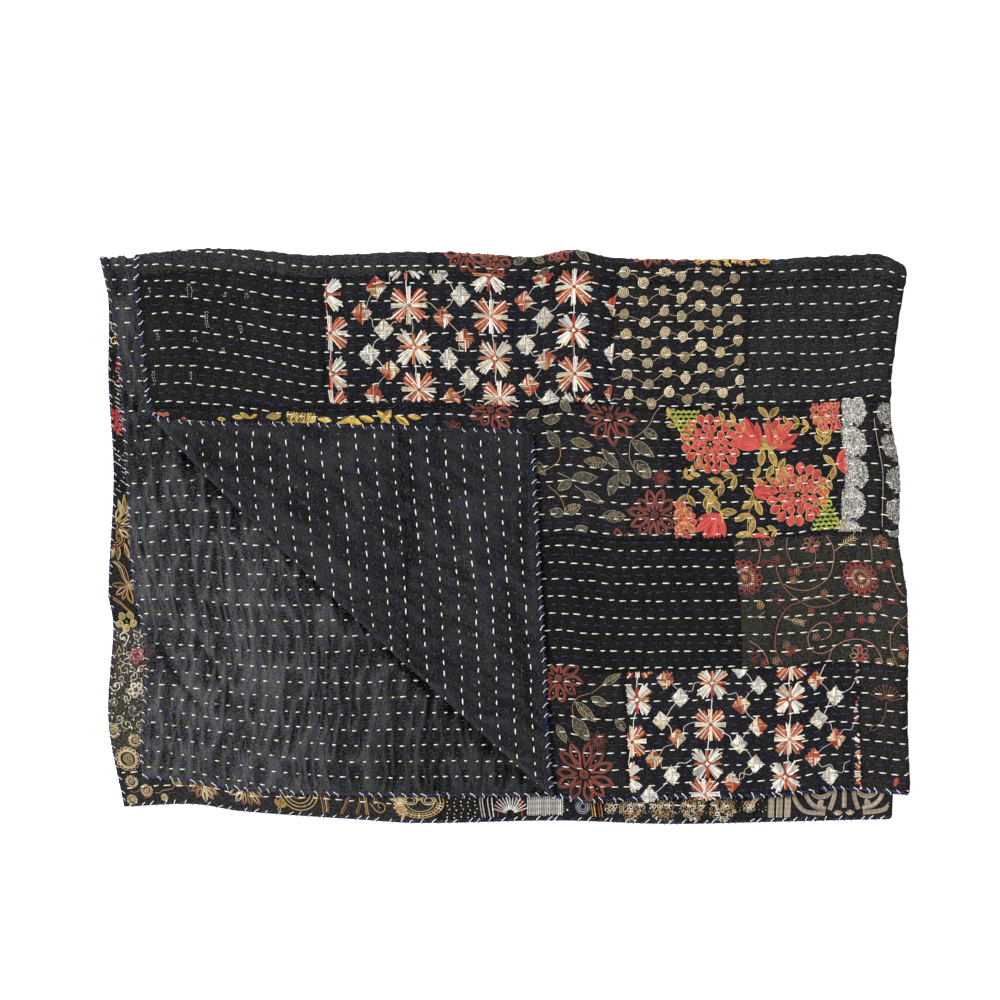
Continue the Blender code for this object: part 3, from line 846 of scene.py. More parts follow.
faceCotton = clothMaterial("washedBlackCotton", clothLooks["face"])
backingCotton = clothMaterial("washedCharcoalCotton", clothLooks["backing"])
whiteThread = threadMaterial("whiteCottonThread", threadLooks["white"])
blueThread = threadMaterial("navyCottonThread", threadLooks["blue"])
strandedThread = threadMaterial("strandedEmbroideryCotton", threadLooks["embroidery"])
print("materials made")


# Geometry Nodes: running stitches along rows, and threads laid along paths
def startTree(name, inputs):
    # gives the tree, the function that adds to it, and its named inputs
    tree = bpy.data.node_groups.new(name, "GeometryNodeTree")
    for label, (kind, value) in inputs.items():
        socket = tree.interface.new_socket(label, in_out="INPUT", socket_type="NodeSocket" + kind)
        if value is not None:
            socket.default_value = value
    tree.interface.new_socket("Geometry", in_out="OUTPUT", socket_type="NodeSocketGeometry")
    add = functools.partial(addNode, tree)
    return tree, add, add("NodeGroupInput").node.outputs


def tubeAndFinish(add, start, curve, radius, scale):
    # threads as tubes on the curves, then instances realized and the material set
    profile = add("GeometryNodeCurvePrimitiveCircle", {"Resolution": start["Sides"], "Radius": radius})
    lengths = add("GeometryNodeSplineParameter", out="Length")
    measured = add("GeometryNodeStoreNamedAttribute", {"Geometry": curve, "Name": "along", "Value": lengths},
                   data_type="FLOAT", domain="POINT")
    tube = add("GeometryNodeCurveToMesh", {"Curve": measured, "Profile Curve": profile, "Scale": scale,
                                           "Fill Caps": True})
    smooth = add("GeometryNodeSetShadeSmooth", {"Geometry": tube})
    real = add("GeometryNodeRealizeInstances", {"Geometry": smooth})
    done = add("GeometryNodeSetMaterial", {"Geometry": real, "Material": start["Material"]})
    add("NodeGroupOutput", done)


def makeStitchTree():
    tree, add, start = startTree("runningStitches", {
        "Geometry": ("Geometry", None), "Stitch Pitch": ("Float", 0.0137), "Steps": ("Int", 7),
        "Share Sewn": ("Float", 0.6), "Share Vary": ("Float", 0.1), "Thread": ("Float", 0.0013),
        "Rise": ("Float", 0.0009), "Sink": ("Float", 0.0004), "Slant": ("Float", 0.0003),
        "Wander": ("Float", 0.0005), "Sides": ("Int", 4), "Material": ("Material", None)})
    aFloat = {"data_type": "FLOAT", "out": "Value_001"}
    rows = add("GeometryNodeMeshToCurve", {"Mesh": start["Geometry"]})
    step = add("Math:DIVIDE", start["Stitch Pitch"], start["Steps"])
    even = add("GeometryNodeResampleCurve", {"Curve": rows, "Length": step}, mode="LENGTH")
    index = add("GeometryNodeSplineParameter", out="Index")
    row = add("GeometryNodeCurveOfPoint", out="Curve Index")
    offset = add("FunctionNodeRandomValue", {"Max_001": 60.0, "ID": row, "Seed": 5}, **aFloat)
    shifted = add("Math:ADD", index, add("Math:FLOOR", offset))
    count = add("Math:DIVIDE", shifted, start["Steps"])
    number = add("Math:ADD", add("Math:FLOOR", count), add("Math:MULTIPLY", row, 997.0))
    longer = add("FunctionNodeRandomValue", {"Min_001": -1.0, "ID": number, "Seed": 6}, **aFloat)
    limit = add("Math:MULTIPLY_ADD", longer, start["Share Vary"], start["Share Sewn"])
    gap = add("Math:GREATER_THAN", add("Math:FRACT", add("Math:ADD", count, 0.002)), limit)
    marked = add("GeometryNodeStoreNamedAttribute", {"Geometry": even, "Name": "gap", "Value": gap},
                 data_type="FLOAT", domain="POINT")
    edges = add("GeometryNodeCurveToMesh", {"Curve": marked})
    gapHere = add("GeometryNodeInputNamedAttribute", {"Name": "gap"}, data_type="FLOAT", out="Attribute")
    unsewn = add("Math:GREATER_THAN", gapHere, 0.5)
    sewn = add("GeometryNodeDeleteGeometry", {"Geometry": edges, "Selection": unsewn},
               domain="POINT", mode="ALL")
    stitches = add("GeometryNodeMeshToCurve", {"Mesh": sewn})

    share = add("GeometryNodeSplineParameter", out="Factor")
    stitch = add("GeometryNodeCurveOfPoint", out="Curve Index")
    fromMiddle = add("Math:MULTIPLY_ADD", share, 2.0, -1.0)
    fourth = add("Math:POWER", add("Math:ABSOLUTE", fromMiddle), 4.0)
    stand = add("Math:ADD", start["Rise"], start["Sink"])
    rise = add("Math:SUBTRACT", add("Math:MULTIPLY", add("Math:SUBTRACT", 1.0, fourth), stand), start["Sink"])
    up = add("GeometryNodeInputNamedAttribute", {"Name": "up"}, data_type="FLOAT_VECTOR", out="Attribute")
    tangent = add("GeometryNodeInputTangent")
    aside = add("VectorMath:CROSS_PRODUCT", up, tangent)
    chances = []
    for low, high, seed in ((-0.35, 1.0, 7), (-1.0, 1.0, 8), (-1.2, 1.2, 9)):
        limits = {"Min_001": low, "Max_001": high, "ID": stitch, "Seed": seed}
        chances.append(add("FunctionNodeRandomValue", limits, **aFloat))
    lean = add("Math:MULTIPLY", fromMiddle, chances[0])
    lean = add("Math:MULTIPLY", lean, start["Slant"])
    lean = add("Math:MULTIPLY_ADD", chances[1], start["Wander"], lean)
    slide = add("Math:MULTIPLY", chances[2], start["Wander"])
    ways = ((up, rise), (aside, lean), (tangent, slide))
    moved = [add("VectorMath:SCALE", {0: way, "Scale": far}) for way, far in ways]
    shift = add("VectorMath:ADD", add("VectorMath:ADD", moved[0], moved[1]), moved[2])
    placed = add("GeometryNodeSetPosition", {"Geometry": stitches, "Offset": shift})
    taper = add("Math:MULTIPLY_ADD", fourth, -0.3, 1.0)
    tubeAndFinish(add, start, placed, add("Math:MULTIPLY", start["Thread"], 0.5), taper)
    return tree


def makeLaidTree():
    tree, add, start = startTree("laidThreads", {
        "Geometry": ("Geometry", None), "Sides": ("Int", 4), "Material": ("Material", None)})
    paths = add("GeometryNodeMeshToCurve", {"Mesh": start["Geometry"]})
    half = add("GeometryNodeInputNamedAttribute", {"Name": "half"}, data_type="FLOAT", out="Attribute")
    tubeAndFinish(add, start, paths, 1.0, half)
    return tree


stitchTree, laidTree = makeStitchTree(), makeLaidTree()


def growThreads(name, guide, tree, settings):
    # runs a tree on its guide mesh and keeps the result as a plain mesh
    modifier = guide.modifiers.new(tree.name, "NODES")
    modifier.node_group = tree
    for item in tree.interface.items_tree:
        if item.in_out == "INPUT" and item.name in settings:
            modifier[item.identifier] = settings[item.name]
    depsgraph = bpy.context.evaluated_depsgraph_get()
    mesh = bpy.data.meshes.new_from_object(guide.evaluated_get(depsgraph), depsgraph=depsgraph)
    mesh.name = name
    for leftOver in ("up", "gap", "half"):
        if leftOver in mesh.attributes:
            mesh.attributes.remove(mesh.attributes[leftOver])
    threads = addObject(name, mesh)
    bpy.data.meshes.remove(guide.data)      # its object goes with it
    print(name, "triangles", sum(len(f.vertices) - 2 for f in mesh.polygons))
    return threads


def guideMesh(place, joined, attributes):
    # a mesh of paths: place in mm, joined says which points go on to the next one
    mesh = bpy.data.meshes.new("guide")
    starts = np.nonzero(joined)[0]
    mesh.vertices.add(len(place))
    mesh.edges.add(len(starts))
    mesh.vertices.foreach_set("co", (place * mm).ravel())
    mesh.edges.foreach_set("vertices", np.stack([starts, starts + 1], axis=1).ravel())
    setAttributes(mesh, attributes)
    mesh.update()
    return addObject("guide", mesh)


# quilting rows
def quiltRows(wrap, upper, phaseShift):
    # (p, q) along every row on one quarter of the quilt, and which points lie inside it
    pitch = quilting["pitch"][wrap]
    p = wrap * np.arange(-4 if wrap > 0 else 20, halfWidth - 4, quilting["pointStep"])
    low, high = (-quilting["short"], halfDepth - 5) if upper > 0 else (-halfDepth + 5, -quilting["short"])
    rows = []
    for k in range(int(low // pitch) - 2, int(high // pitch) + 3):
        straight = np.full_like(p, pitch * (k + phaseShift))
        q = straight + rowDrift(p, straight)
        q = q + quilting["waver"] * lattice(p / 21, np.full_like(p, k * 3.3 + phaseShift), 21)
        rows.append((p, q, (q > low) & (q < high)))
    return rows


def underMotifs(p, q):
    # where the dense embroidery of layer 3 covers the rows
    u = p + halfWidth
    nearStripFull = (q < -585) & (((u > 325) & (u < 560)) | (u > 700))
    return (p < -20) & (((q < -110) & (q > -585)) | nearStripFull)


def sewRows(name, quarters, phaseShift, settings):
    places, ups, joins = [], [], []
    for skin, wrap, upper in quarters:
        rows = quiltRows(wrap, upper, phaseShift)
        p, q, inside = (np.concatenate(part) for part in zip(*rows))
        lastOnes = np.concatenate([np.arange(len(row[0])) == len(row[0]) - 1 for row in rows])
        place, up, spot = onCloth(p, q, skin)
        keep = inside & ~hidden(spot, skin) & ~(underMotifs(p, q) & (skin > 0))
        joined = keep & np.roll(keep, -1) & ~lastOnes
        place[:, 2] = np.maximum(place[:, 2], 1.0)     # stitches of the underside are pressed into the cloth
        places.append(place)
        ups.append(up)
        joins.append(joined)
    attributes = {"up": ("FLOAT_VECTOR", "vector", np.concatenate(ups))}
    guide = guideMesh(np.concatenate(places), np.concatenate(joins), attributes)
    return growThreads(name, guide, stitchTree, settings)


# whip stitches over the hems
whipping = {"pitch": 13.0, "faceIn": 5.4, "backIn": 4.4, "slant": 5.2, "thread": 1.1, "missed": 0.05,
            "overHem": 7.5}


def whipPaths(shift, seed, depth, slantBy, pitch):
    # each stitch as (p, q, off) points, from the patchwork over the hem to the backing
    rng = np.random.default_rng(seed)
    paths = []
    insets = np.array([1.0, 0.8, 0.45, 0.12, -0.2, -0.28, -0.2, 0.12, 0.45, 0.8, 1.0])
    runs = np.array([-1.0, -0.78, -0.42, -0.12, 0, 0, 0, 0.12, 0.42, 0.78, 1.0])
    offs = np.array([0.9, 1.9, 2.0, 1.95, 1.5, 0.0, -1.5, -1.95, -2.0, -1.9, -0.9])
    onFace = np.arange(11) < 5
    edges = [("p", halfWidth, halfDepth, 1, 0.62), ("p", -halfWidth, halfDepth, 1, 0.5),
             ("q", halfDepth, halfWidth, -1, 0.78), ("q", -halfDepth, halfWidth, -1, 0.62)]
    for which, edge, reach, lean, scale in edges:
        for at in np.arange(-reach + 6 + shift, reach - 6, pitch):
            if rng.random() > 1 - whipping["missed"]:
                continue
            at = at + rng.uniform(-3.2, 3.2)
            faceIn = depth * whipping["faceIn"] * rng.uniform(0.65, 1.2)
            backIn = depth * whipping["backIn"] * rng.uniform(0.65, 1.2)
            inset = insets * np.where(onFace, faceIn, backIn)
            inset = np.where(insets < 0, insets * whipping["overHem"], inset * scale)
            slant = slantBy * scale * whipping["slant"] * rng.uniform(0.5, 1.4)
            slant *= 1.2 if which == "q" else 1.0
            run = at + slant * lean * runs
            across = edge - math.copysign(1, edge) * inset
            p, q = (across, run) if which == "p" else (run, across)
            paths.append(np.stack([p, q, offs], axis=1))
    return paths


def sewHems(name, material, shift, seed, thread, depth=1.0, slantBy=1.0, pitch=whipping["pitch"]):
    paths = whipPaths(shift, seed, depth, slantBy, pitch)
    points = np.concatenate(paths)
    place = laid(plan(points[:, 0], points[:, 1]), points[:, 2])
    place[:, 2] = np.maximum(place[:, 2], thread / 2)      # pressed flat where the stack rests on its hems
    joined = np.tile(np.arange(11) < 10, len(paths))
    half = np.full(len(points), thread / 2 * mm)
    guide = guideMesh(place, joined, {"half": ("FLOAT", "value", half)})
    return growThreads(name, guide, laidTree, {"Sides": 4, "Material": material})


# embroidery: threads laid on the patchwork
# A motif is drawn in mm on its patch, u to the right and v down as one looks at that layer.
threadColours = {
    "white": "#f0ece2", "silver": "#c9c7c1", "dullSilver": "#a19d92", "rust": "#b8452f", "orange": "#d68a5c",
    "cream": "#e6d3ae", "beige": "#cdb78d", "terracotta": "#8d4535", "clay": "#a55a45", "olive": "#4a4639",
    "paleOlive": "#a89e80", "coral": "#dd5a50", "deepCoral": "#bd3d3e", "peach": "#eba47c", "gold": "#c29a58",
    "brightGold": "#e2b950", "darkGold": "#8f7040", "lime": "#bfc94c", "vine": "#a3745f",
    "vineRed": "#a83f38",
    "maroon": "#74262a", "brown": "#7c5638", "yellow": "#e0c86a", "red": "#c0303c", "green": "#8fa45c",
    "pinkBeige": "#cbbaa4", "paleStone": "#b3a18c", "darkRust": "#74382c", "paleYellow": "#dccb8c",
    "peachTan": "#c79a74", "tan": "#b08a5c", "steel": "#8b99a8", "lilac": "#a89cae",
}
stranding = {"height": 0.35, "step": 3.2}     # a thread's middle over the cloth, and its mesh steps' length
sewn = []       # (flat points, which are inside, half widths, colour, height) of every thread
handOf = np.random.default_rng(7)
vary = handOf.uniform       # a length, share or angle between two limits, as a hand varies it


class Cloth:
    # the place on the quilt that a motif is drawn on
    def __init__(self, p, q, right, down, width, height):
        self.origin, self.right, self.down, self.size = np.array((p, q), float), right, down, (width, height)


def patchOf(name):
    pLow, pHigh, qLow, qHigh, _ = patches[name]
    return Cloth(pHigh, qLow, -1, 1, pHigh - pLow, qHigh - qLow)


def sew(cloth, points, colour, wide, raised=0.0):
    # lays one thread along the points, cut at the edge of its patch
    points = np.asarray(points, float)
    steps = np.hypot(*np.diff(points, axis=0).T)
    total = steps.sum()
    if total < 0.4:
        return
    if (steps > stranding["step"] * 1.3).any():
        at = np.concatenate([[0], np.cumsum(steps)])
        where = np.linspace(0, total, max(2, int(round(total / stranding["step"])) + 1))
        points = np.stack([np.interp(where, at, points[:, 0]), np.interp(where, at, points[:, 1])], axis=1)
    u, v = points[:, 0], points[:, 1]
    width, height = cloth.size
    inside = (u > 0.3) & (u < width - 0.3) & (v > 0.3) & (v < height - 0.3)
    if inside.sum() < 2:
        return
    flat = cloth.origin + np.stack([u * cloth.right, v * cloth.down], axis=1)
    shade = vary(0.66, 1.2)
    # thick and thin by turns, as stitch follows stitch
    half = wide / 2 * np.where(np.arange(len(points)) % 2, 1.12, 0.84)
    tone = tuple(c * shade for c in linearColour(threadColours[colour]))
    sewn.append((flat, inside, half, tone, raised))


def pick(colours):
    return colours[handOf.integers(len(colours))] if isinstance(colours, (list, tuple)) else colours


def at(centre, angle, far, aside=0.0):
    c, s = math.cos(angle), math.sin(angle)
    return np.array((centre[0] + c * far - s * aside, centre[1] + s * far + c * aside))


def dash(cloth, centre, angle, near, far, colour, thread, raised=0.0):
    # a straight stitch on a line through the centre
    sew(cloth, [at(centre, angle, near), at(centre, angle, far)], colour, thread, raised)


def spokes(count, turn=0.0):
    return [turn + fullTurn * number / count for number in range(count)]


def axes(base, tip):
    # the base, the way from it to the tip, and the direction square to that way
    base, tip = np.asarray(base, float), np.asarray(tip, float)
    along = tip - base
    return base, along, np.array((-along[1], along[0])) / max(1e-6, np.hypot(*along))


def swelling(share, belly):
    # none at either end, and most where the share of the way is belly
    return np.sin(math.pi * share ** (math.log(0.5) / math.log(belly)))


def smoothPath(points, step):
    # a curve through the points
    points = np.asarray(points, float)
    runs = np.concatenate([[0], np.cumsum(np.hypot(*np.diff(points, axis=0).T))])
    where = np.linspace(0, runs[-1], max(3, int(runs[-1] / step) + 1))
    if len(points) < 3:
        return np.stack([np.interp(where, runs, column) for column in points.T], axis=1)
    return np.stack([smoothLine(np.stack([runs, column], axis=1), where) for column in points.T], axis=1)


def ring(centre, radius, count, start=0.0, turn=fullTurn):
    angles = start + np.linspace(0, turn, count + 1)
    return np.stack([centre[0] + radius * np.cos(angles), centre[1] + radius * np.sin(angles)], axis=1)


def petalEdge(base, tip, wide, belly=0.55, steps=5):
    # a closed pointed outline from base to tip and back
    base, along, side = axes(base, tip)
    share = np.linspace(0, 1, steps + 1)
    middle, reach = base + np.outer(share, along), np.outer(swelling(share, belly) * wide / 2, side)
    return np.concatenate([middle + reach, (middle - reach)[::-1][1:]])


def filledPetal(cloth, base, tip, wide, colours, thread, belly=0.55, gap=0.92):
    # satin stitches along a petal from base to tip
    base, along, side = axes(base, tip)
    share = np.linspace(0.02, 0.98, 5)
    swell = swelling(share, belly) * (wide - thread) / 2
    for lane in np.linspace(-1, 1, max(2, int(round(wide / (thread * gap))))):
        reach = 1 - 0.1 * handOf.random()
        points = base + np.outer(share * reach, along) + np.outer(swell * lane, side)
        sew(cloth, points, pick(colours), thread)


def leaf(cloth, base, tip, wide):
    # dark inside on most, short slanting threads across, then its edge, its middle line and perhaps a bead
    if handOf.random() < 0.6:
        filledPetal(cloth, base, tip, wide * 0.8, "olive", 1.5, 0.45, 1.3)
    spacing, slant = vary(1.7, 2.4), vary(0.4, 0.9)
    base, along, side = axes(base, tip)
    length = np.hypot(*along)
    for share in np.arange(0.14, 0.9, spacing / length):
        swell = swelling(share, 0.45) * wide / 2 * 0.82
        for half in (-1, 1):
            start = base + along * share + side * half * 0.5
            end = start + side * half * swell + along / length * swell * slant
            sew(cloth, [start, end], pick(["paleOlive", "paleOlive", "olive", "tan"]), 0.8)
    sew(cloth, petalEdge(base, tip, wide, 0.45, 6), "paleOlive", 0.85)
    sew(cloth, smoothPath([base, base + along / 2, tip], 5), "paleOlive", 0.8, 0.3)
    if handOf.random() < 0.6:
        bead(cloth, base + along * vary(0.3, 0.8), "cream", 0.5)


starStripes = ["orange", "rust", "cream", "rust", "white", "clay"]
whiteStripes = ["white"] * 7 + ["cream", "silver", "silver", "dullSilver", "orange"]


def star(cloth, centre, kind, size):
    # four blunt wedges of side by side threads on the diagonals, and four narrower arms between them
    white = kind == "white"
    for quarter, straight in enumerate(spokes(4)):
        angle = math.pi / 4 + straight + vary(-0.08, 0.08)
        first = handOf.integers(6)
        for number, lane in enumerate(np.linspace(-1, 1, 6)):
            reach = size * (0.94 + 0.2 * (1 - abs(2 * abs(lane) - 1))) * vary(0.88, 1.06)
            colour = pick(whiteStripes) if white else starStripes[(number + first) % 6]
            start = at(centre, angle, 3.6 + 1.6 * abs(lane), lane * 2.9)
            end = at(centre, angle, reach, lane * 6.3 + vary(-0.5, 0.5))
            sew(cloth, [start, end], colour, 2.45)
        arm = straight + vary(-0.05, 0.05)
        for lane in (-1.0, 1.0) if white else (-2.1, 0.0, 2.1):
            if white:
                colour = pick(["rust", "rust", "orange"] if quarter % 2 else ["orange", "orange", "rust"])
                start = at(centre, arm, 1.5, lane * 0.8)
                end = at(centre, arm, size * vary(0.7, 0.9), lane * 1.1)
            else:
                start = at(centre, arm, 1.5, lane * 0.6)
                end = at(centre, arm, size * vary(0.84, 0.98), lane)
                colour = pick(["white", "white", "cream"])
            sew(cloth, [start, end], colour, 1.8, 0.3)
    middle = "white" if white else pick(["rust", "orange"])
    for turn in (0.3, 1.8):
        dash(cloth, centre, turn, -2.2, 2.2, middle, 2.2, 0.9)


diamondTones = {
    "warm": (("rust", "orange", "rust"), ("orange", "cream", "rust"), ("rust", "cream", "white"),
             ("orange", "white", "cream")),
    "white": (("white", "silver", "white", "cream", "white"),) * 4,
}


def diamond(cloth, centre, kind, wide, tall):
    # a lozenge in four quarters of seven lanes, sewn across and up and down by turns
    turn = vary(-0.12, 0.12)
    first = handOf.integers(4)
    for quarter, (right, down) in enumerate(((wide, tall), (-wide, tall), (-wide, -tall), (wide, -tall))):
        colours = diamondTones[kind][(quarter + first) % 4]
        for share in (np.arange(7) + 0.5) / 7:
            far = (1 - share) * vary(0.88, 1.06)
            if quarter % 2:
                ends = [(math.copysign(0.3, right), down * share / 2), (right * far / 2, down * share / 2)]
            else:
                ends = [(right * share / 2, math.copysign(0.3, down)), (right * share / 2, down * far / 2)]
            sew(cloth, [at(centre, turn, *end) for end in ends], pick(colours), 1.8)


def link(cloth, start, end, colour, thread, sway=3.0):
    # a loose thread from start to end
    start, along, side = axes(start, end)
    bend = vary(-sway, sway, 3) + (0, vary(-sway, sway), 0)
    points = start + np.outer((0, 0.25, 0.5, 0.75, 1), along) + np.outer((0, *bend, 0), side)
    sew(cloth, smoothPath(points, 3), colour, thread)


def spiralDot(cloth, centre, radius, colour, thread=1.5, pitch=2.25):
    turns = radius / pitch
    angles = np.linspace(0.4, turns * fullTurn, int(turns * 9) + 4)
    start = vary(0, fullTurn)
    far = 0.5 + (radius - 0.9) * angles / angles[-1]
    wobble = 1 + 0.06 * np.sin(3 * angles + start)
    points = np.stack([centre[0] + far * wobble * np.cos(angles + start),
                       centre[1] + far * wobble * np.sin(angles + start) * 1.04], axis=1)
    sew(cloth, points, colour, thread)


def outlineFlower(cloth, centre, radius, petals, colours, thread, turn):
    # pointed petals in a broad double outline, dark inside, round a ringed centre
    for angle in spokes(petals, turn):
        angle = angle + vary(-0.09, 0.09)
        reach = radius * vary(0.84, 1.08)
        for lane in (0, 1):
            base = at(centre, angle, radius * (0.22 + 0.07 * lane))
            tip = at(centre, angle, reach * (1 - 0.09 * lane))
            edge = petalEdge(base, tip, radius * 3.5 / petals - lane * 3.0, 0.58, 6)
            sew(cloth, edge, pick(colours), thread)
        if handOf.random() < 0.5:
            bead(cloth, at(centre, angle, radius * 0.6), "cream", 0.6)
    for far in (radius * 0.06, radius * 0.13):
        sew(cloth, ring(centre, far, 8), colours[1], thread)


def seedDisc(cloth, centre, acrossHalf, downHalf, colours, spacing, notch=None, flat=0.0):
    # short stitches thrown every way, close enough to cover the cloth; flat squares off the left half
    for row, v in enumerate(np.arange(-downHalf, downHalf, spacing)):
        for u in np.arange(-acrossHalf + (row % 2) * spacing / 2, acrossHalf, spacing):
            du, dv = u + vary(-0.5, 0.5), v + vary(-0.5, 0.5)
            power = 2 + (flat if du < 0 else 0)
            if abs(du / acrossHalf) ** power + abs(dv / downHalf) ** power > 1:
                continue
            if notch and (du - notch[0]) ** 2 + (dv - notch[1]) ** 2 < notch[2] ** 2:
                continue
            middle = (centre[0] + du, centre[1] + dv)
            dash(cloth, middle, vary(0, math.pi), -1.3, 1.3, pick(colours), 1.45)


def rosette(cloth, centre, radius):
    # wound centre, a broad spoked ring between red rings, then a rim of red loops
    spiralDot(cloth, centre, radius * 0.19, "peachTan", 1.2, 1.7)
    for far, colour in ((0.25, "vineRed"), (0.29, "maroon"), (0.57, "maroon"), (0.63, "vineRed")):
        sew(cloth, ring(centre, radius * far, 20), colour, 1.2)
    for angle in spokes(26):
        dash(cloth, centre, angle, radius * 0.34, radius * 0.52, pick(["beige", "peachTan", "tan"]), 1.5)
    for angle in spokes(16):
        loop = ring(at(centre, angle, radius * 0.8), radius * 0.13, 8, angle)
        sew(cloth, loop, pick(["vineRed", "vineRed", "maroon"]), 1.2)
        bead(cloth, at(centre, angle + 0.2, radius * 0.72), "peachTan", 0.5)
        rim = ring(at(centre, angle + 0.1, radius * 0.95), radius * 0.08, 5, angle + 2.2, math.pi)
        sew(cloth, rim, "clay", 0.9)


def smallFlower(cloth, centre, radius, colour):
    for number in range(5):
        angle = fullTurn * (number + vary(-0.1, 0.1)) / 5
        sew(cloth, ring(at(centre, angle, radius * 0.62), radius * 0.36, 7), colour, 1.0)
    sew(cloth, ring(centre, radius * 0.16, 6), "vineRed", 1.0)


def feather(cloth, base, tip):
    base, along, _ = axes(base, tip)
    sew(cloth, [base, tip], "beige", 0.8)
    for share in (0.4, 0.52, 0.64, 0.76, 0.88):
        for half in (-1, 1):
            angle = math.atan2(along[1], along[0]) + half * 0.7
            dash(cloth, base + along * share, angle, 0, np.hypot(*along) * 0.21, "beige", 0.8)


def scroll(cloth, centre, radius, colour, turn, hand, thread):
    angles = np.linspace(0.6, 2.6 * math.pi, 16)
    far = radius * (angles / angles[-1]) ** 0.8
    points = [at(centre, turn + hand * a, f) for a, f in zip(angles, far)]
    last = turn + hand * (angles[-1] + math.pi / 2)
    points.append(at(points[-1], last, radius * 1.6, hand * radius * 0.2))
    sew(cloth, smoothPath(points, 2.2), colour, thread)


def bead(cloth, centre, colour, size):
    dash(cloth, centre, 0.7, -size, size, colour, 1.9 * size, 0.3)


def fanFlower(cloth, centre, radius, facing, colours, spread, petals, thread):
    # a half flower of broad outlined petals round a dark middle, opening along facing
    wide = 0.86 * radius * 0.62 * spread / (petals - 1)
    for share in np.linspace(-0.5, 0.5, petals):
        angle = facing + spread * share
        reach = radius * (1 - 0.3 * abs(share)) * vary(0.9, 1.06)
        for lane in (0, 1):
            base = at(centre, angle, radius * (0.2 + 0.08 * lane))
            tip = at(centre, angle, reach * (1 - 0.12 * lane))
            sew(cloth, petalEdge(base, tip, wide - 2.2 * lane, 0.6, 5), pick(colours), thread)
    sew(cloth, ring(centre, radius * 0.13, 8), colours[0], thread)


def fan(facing, gap, count):
    # angles spread evenly to both sides of facing
    return [facing + (number - (count - 1) / 2) * gap for number in range(count)]


# the star patches: stars in leaning columns, lozenges between them, all chained by loose threads
# the first one's kind, then (u, v) of each star down a column and of each lozenge down a chain
starPatches = {
    "stars": {
        "shift": (-3.5, -5),
        "scale": 1.04,
        "columns": [
            ("white", [(1, 25), (5, 70), (4, 118), (3, 156)]),
            ("white", [(94, -8), (98, 41), (103, 90), (108, 139)]),
            ("white", [(190, 2), (194, 50), (199, 99), (204, 145)]),
            ("warm", [(289, 21), (291, 71), (294, 121), (297, 163)]),
        ],
        "chains": [
            ("warm", [(60, 19), (43, 48), (68, 69), (50, 97), (74, 116), (54, 144), (75, 163)]),
            ("white", [(132, 4), (158, 28), (138, 55), (163, 79), (144, 103), (169, 125), (147, 149)]),
            ("warm", [(252, 4), (232, 31), (256, 52), (235, 82), (259, 101), (240, 129), (264, 149)]),
            ("warm", [(338, 34)]), ("white", [(339, 90)]), ("warm", [(340, 138)]),
        ],
    },
    "lowerStars": {
        "shift": (0, 0),
        "scale": 0.94,
        "columns": [
            ("warm", [(16, -10), (14, 33), (6, 82), (-3, 124)]),
            ("white", [(106, 16), (103, 65), (97, 111), (92, 147)]),
            ("warm", [(202, -4), (201, 37), (199, 84), (192, 128)]),
            ("white", [(297, 10), (298, 56), (297, 98), (296, 132)]),
        ],
        "chains": [
            ("warm", [(70, -18), (49, 11), (67, 33), (43, 59), (62, 80), (32, 104), (53, 124), (24, 147)]),
            ("white", [(140, 0), (163, 20), (141, 42), (161, 68), (137, 88), (156, 112), (126, 133)]),
            ("warm", [(254, -10), (232, 19), (256, 40), (236, 66), (257, 90), (228, 110), (247, 134)]),
        ],
    },
}
opposite = {"white": "warm", "warm": "white"}


def sewStars(name):
    cloth, look = patchOf(name), starPatches[name]
    cloth.origin = cloth.origin + look["shift"]
    for _, spots in look["columns"]:
        for before, centre in zip(spots, spots[1:]):
            link(cloth, before, centre, "white", 1.1, 1.2)
    for kind, spots in look["chains"]:
        for number, centre in enumerate(spots):
            after = spots[min(number + 1, len(spots) - 1)]
            thread = "white" if kind == "white" else pick(["white", "cream", "silver"])
            upward = -1 if number % 2 else 1
            if upward > 0 and number + 1 < len(spots):
                link(cloth, centre, after, thread, 0.85, 2.0)
            away = math.copysign(vary(20, 27), centre[0] - after[0] + 0.1) * upward
            link(cloth, centre, (centre[0] + away, centre[1] - 18 * upward), thread, 0.85, 4.5)
            diamond(cloth, centre, kind, *look["scale"] * vary((21.5, 24.5), (25, 28)))
            if upward < 0:
                kind = opposite[kind]
    for kind, spots in look["columns"]:
        for centre in spots:
            star(cloth, centre, kind, look["scale"] * vary(20, 22.5))
            kind = opposite[kind]


# dots: wound spirals in leaning columns, threaded from column to column
dotPatch = {"first": (10.0, 7.6), "down": 23.8, "lean": (2.3, 0.009), "radius": 6.9,
            "columns": [(0, 0), (24, 10), (45.7, -2.9), (66, 3.4), (84.6, -9.6), (106.4, -2.3),
                        (125.4, -17.4)]}


def sewDots():
    cloth, look = patchOf("dots"), dotPatch
    for number in range(-1, 8):
        spots = []
        for across, down in look["columns"]:
            lean = look["lean"][0] + look["lean"][1] * across       # more to the right-hand side
            u = look["first"][0] + across + lean * number + vary(-0.8, 0.8)
            v = look["first"][1] + down + look["down"] * number + vary(-1, 1)
            spots.append((u, v))
        for start, end in zip([(spots[0][0] - 22, spots[0][1] + 8)] + spots, spots):
            link(cloth, start, end, "beige", 0.75, 1.6)
        for spot in spots:
            radius = look["radius"] * vary(0.93, 1.06)
            spiralDot(cloth, spot, radius, pick(["beige", "cream", "cream"]))


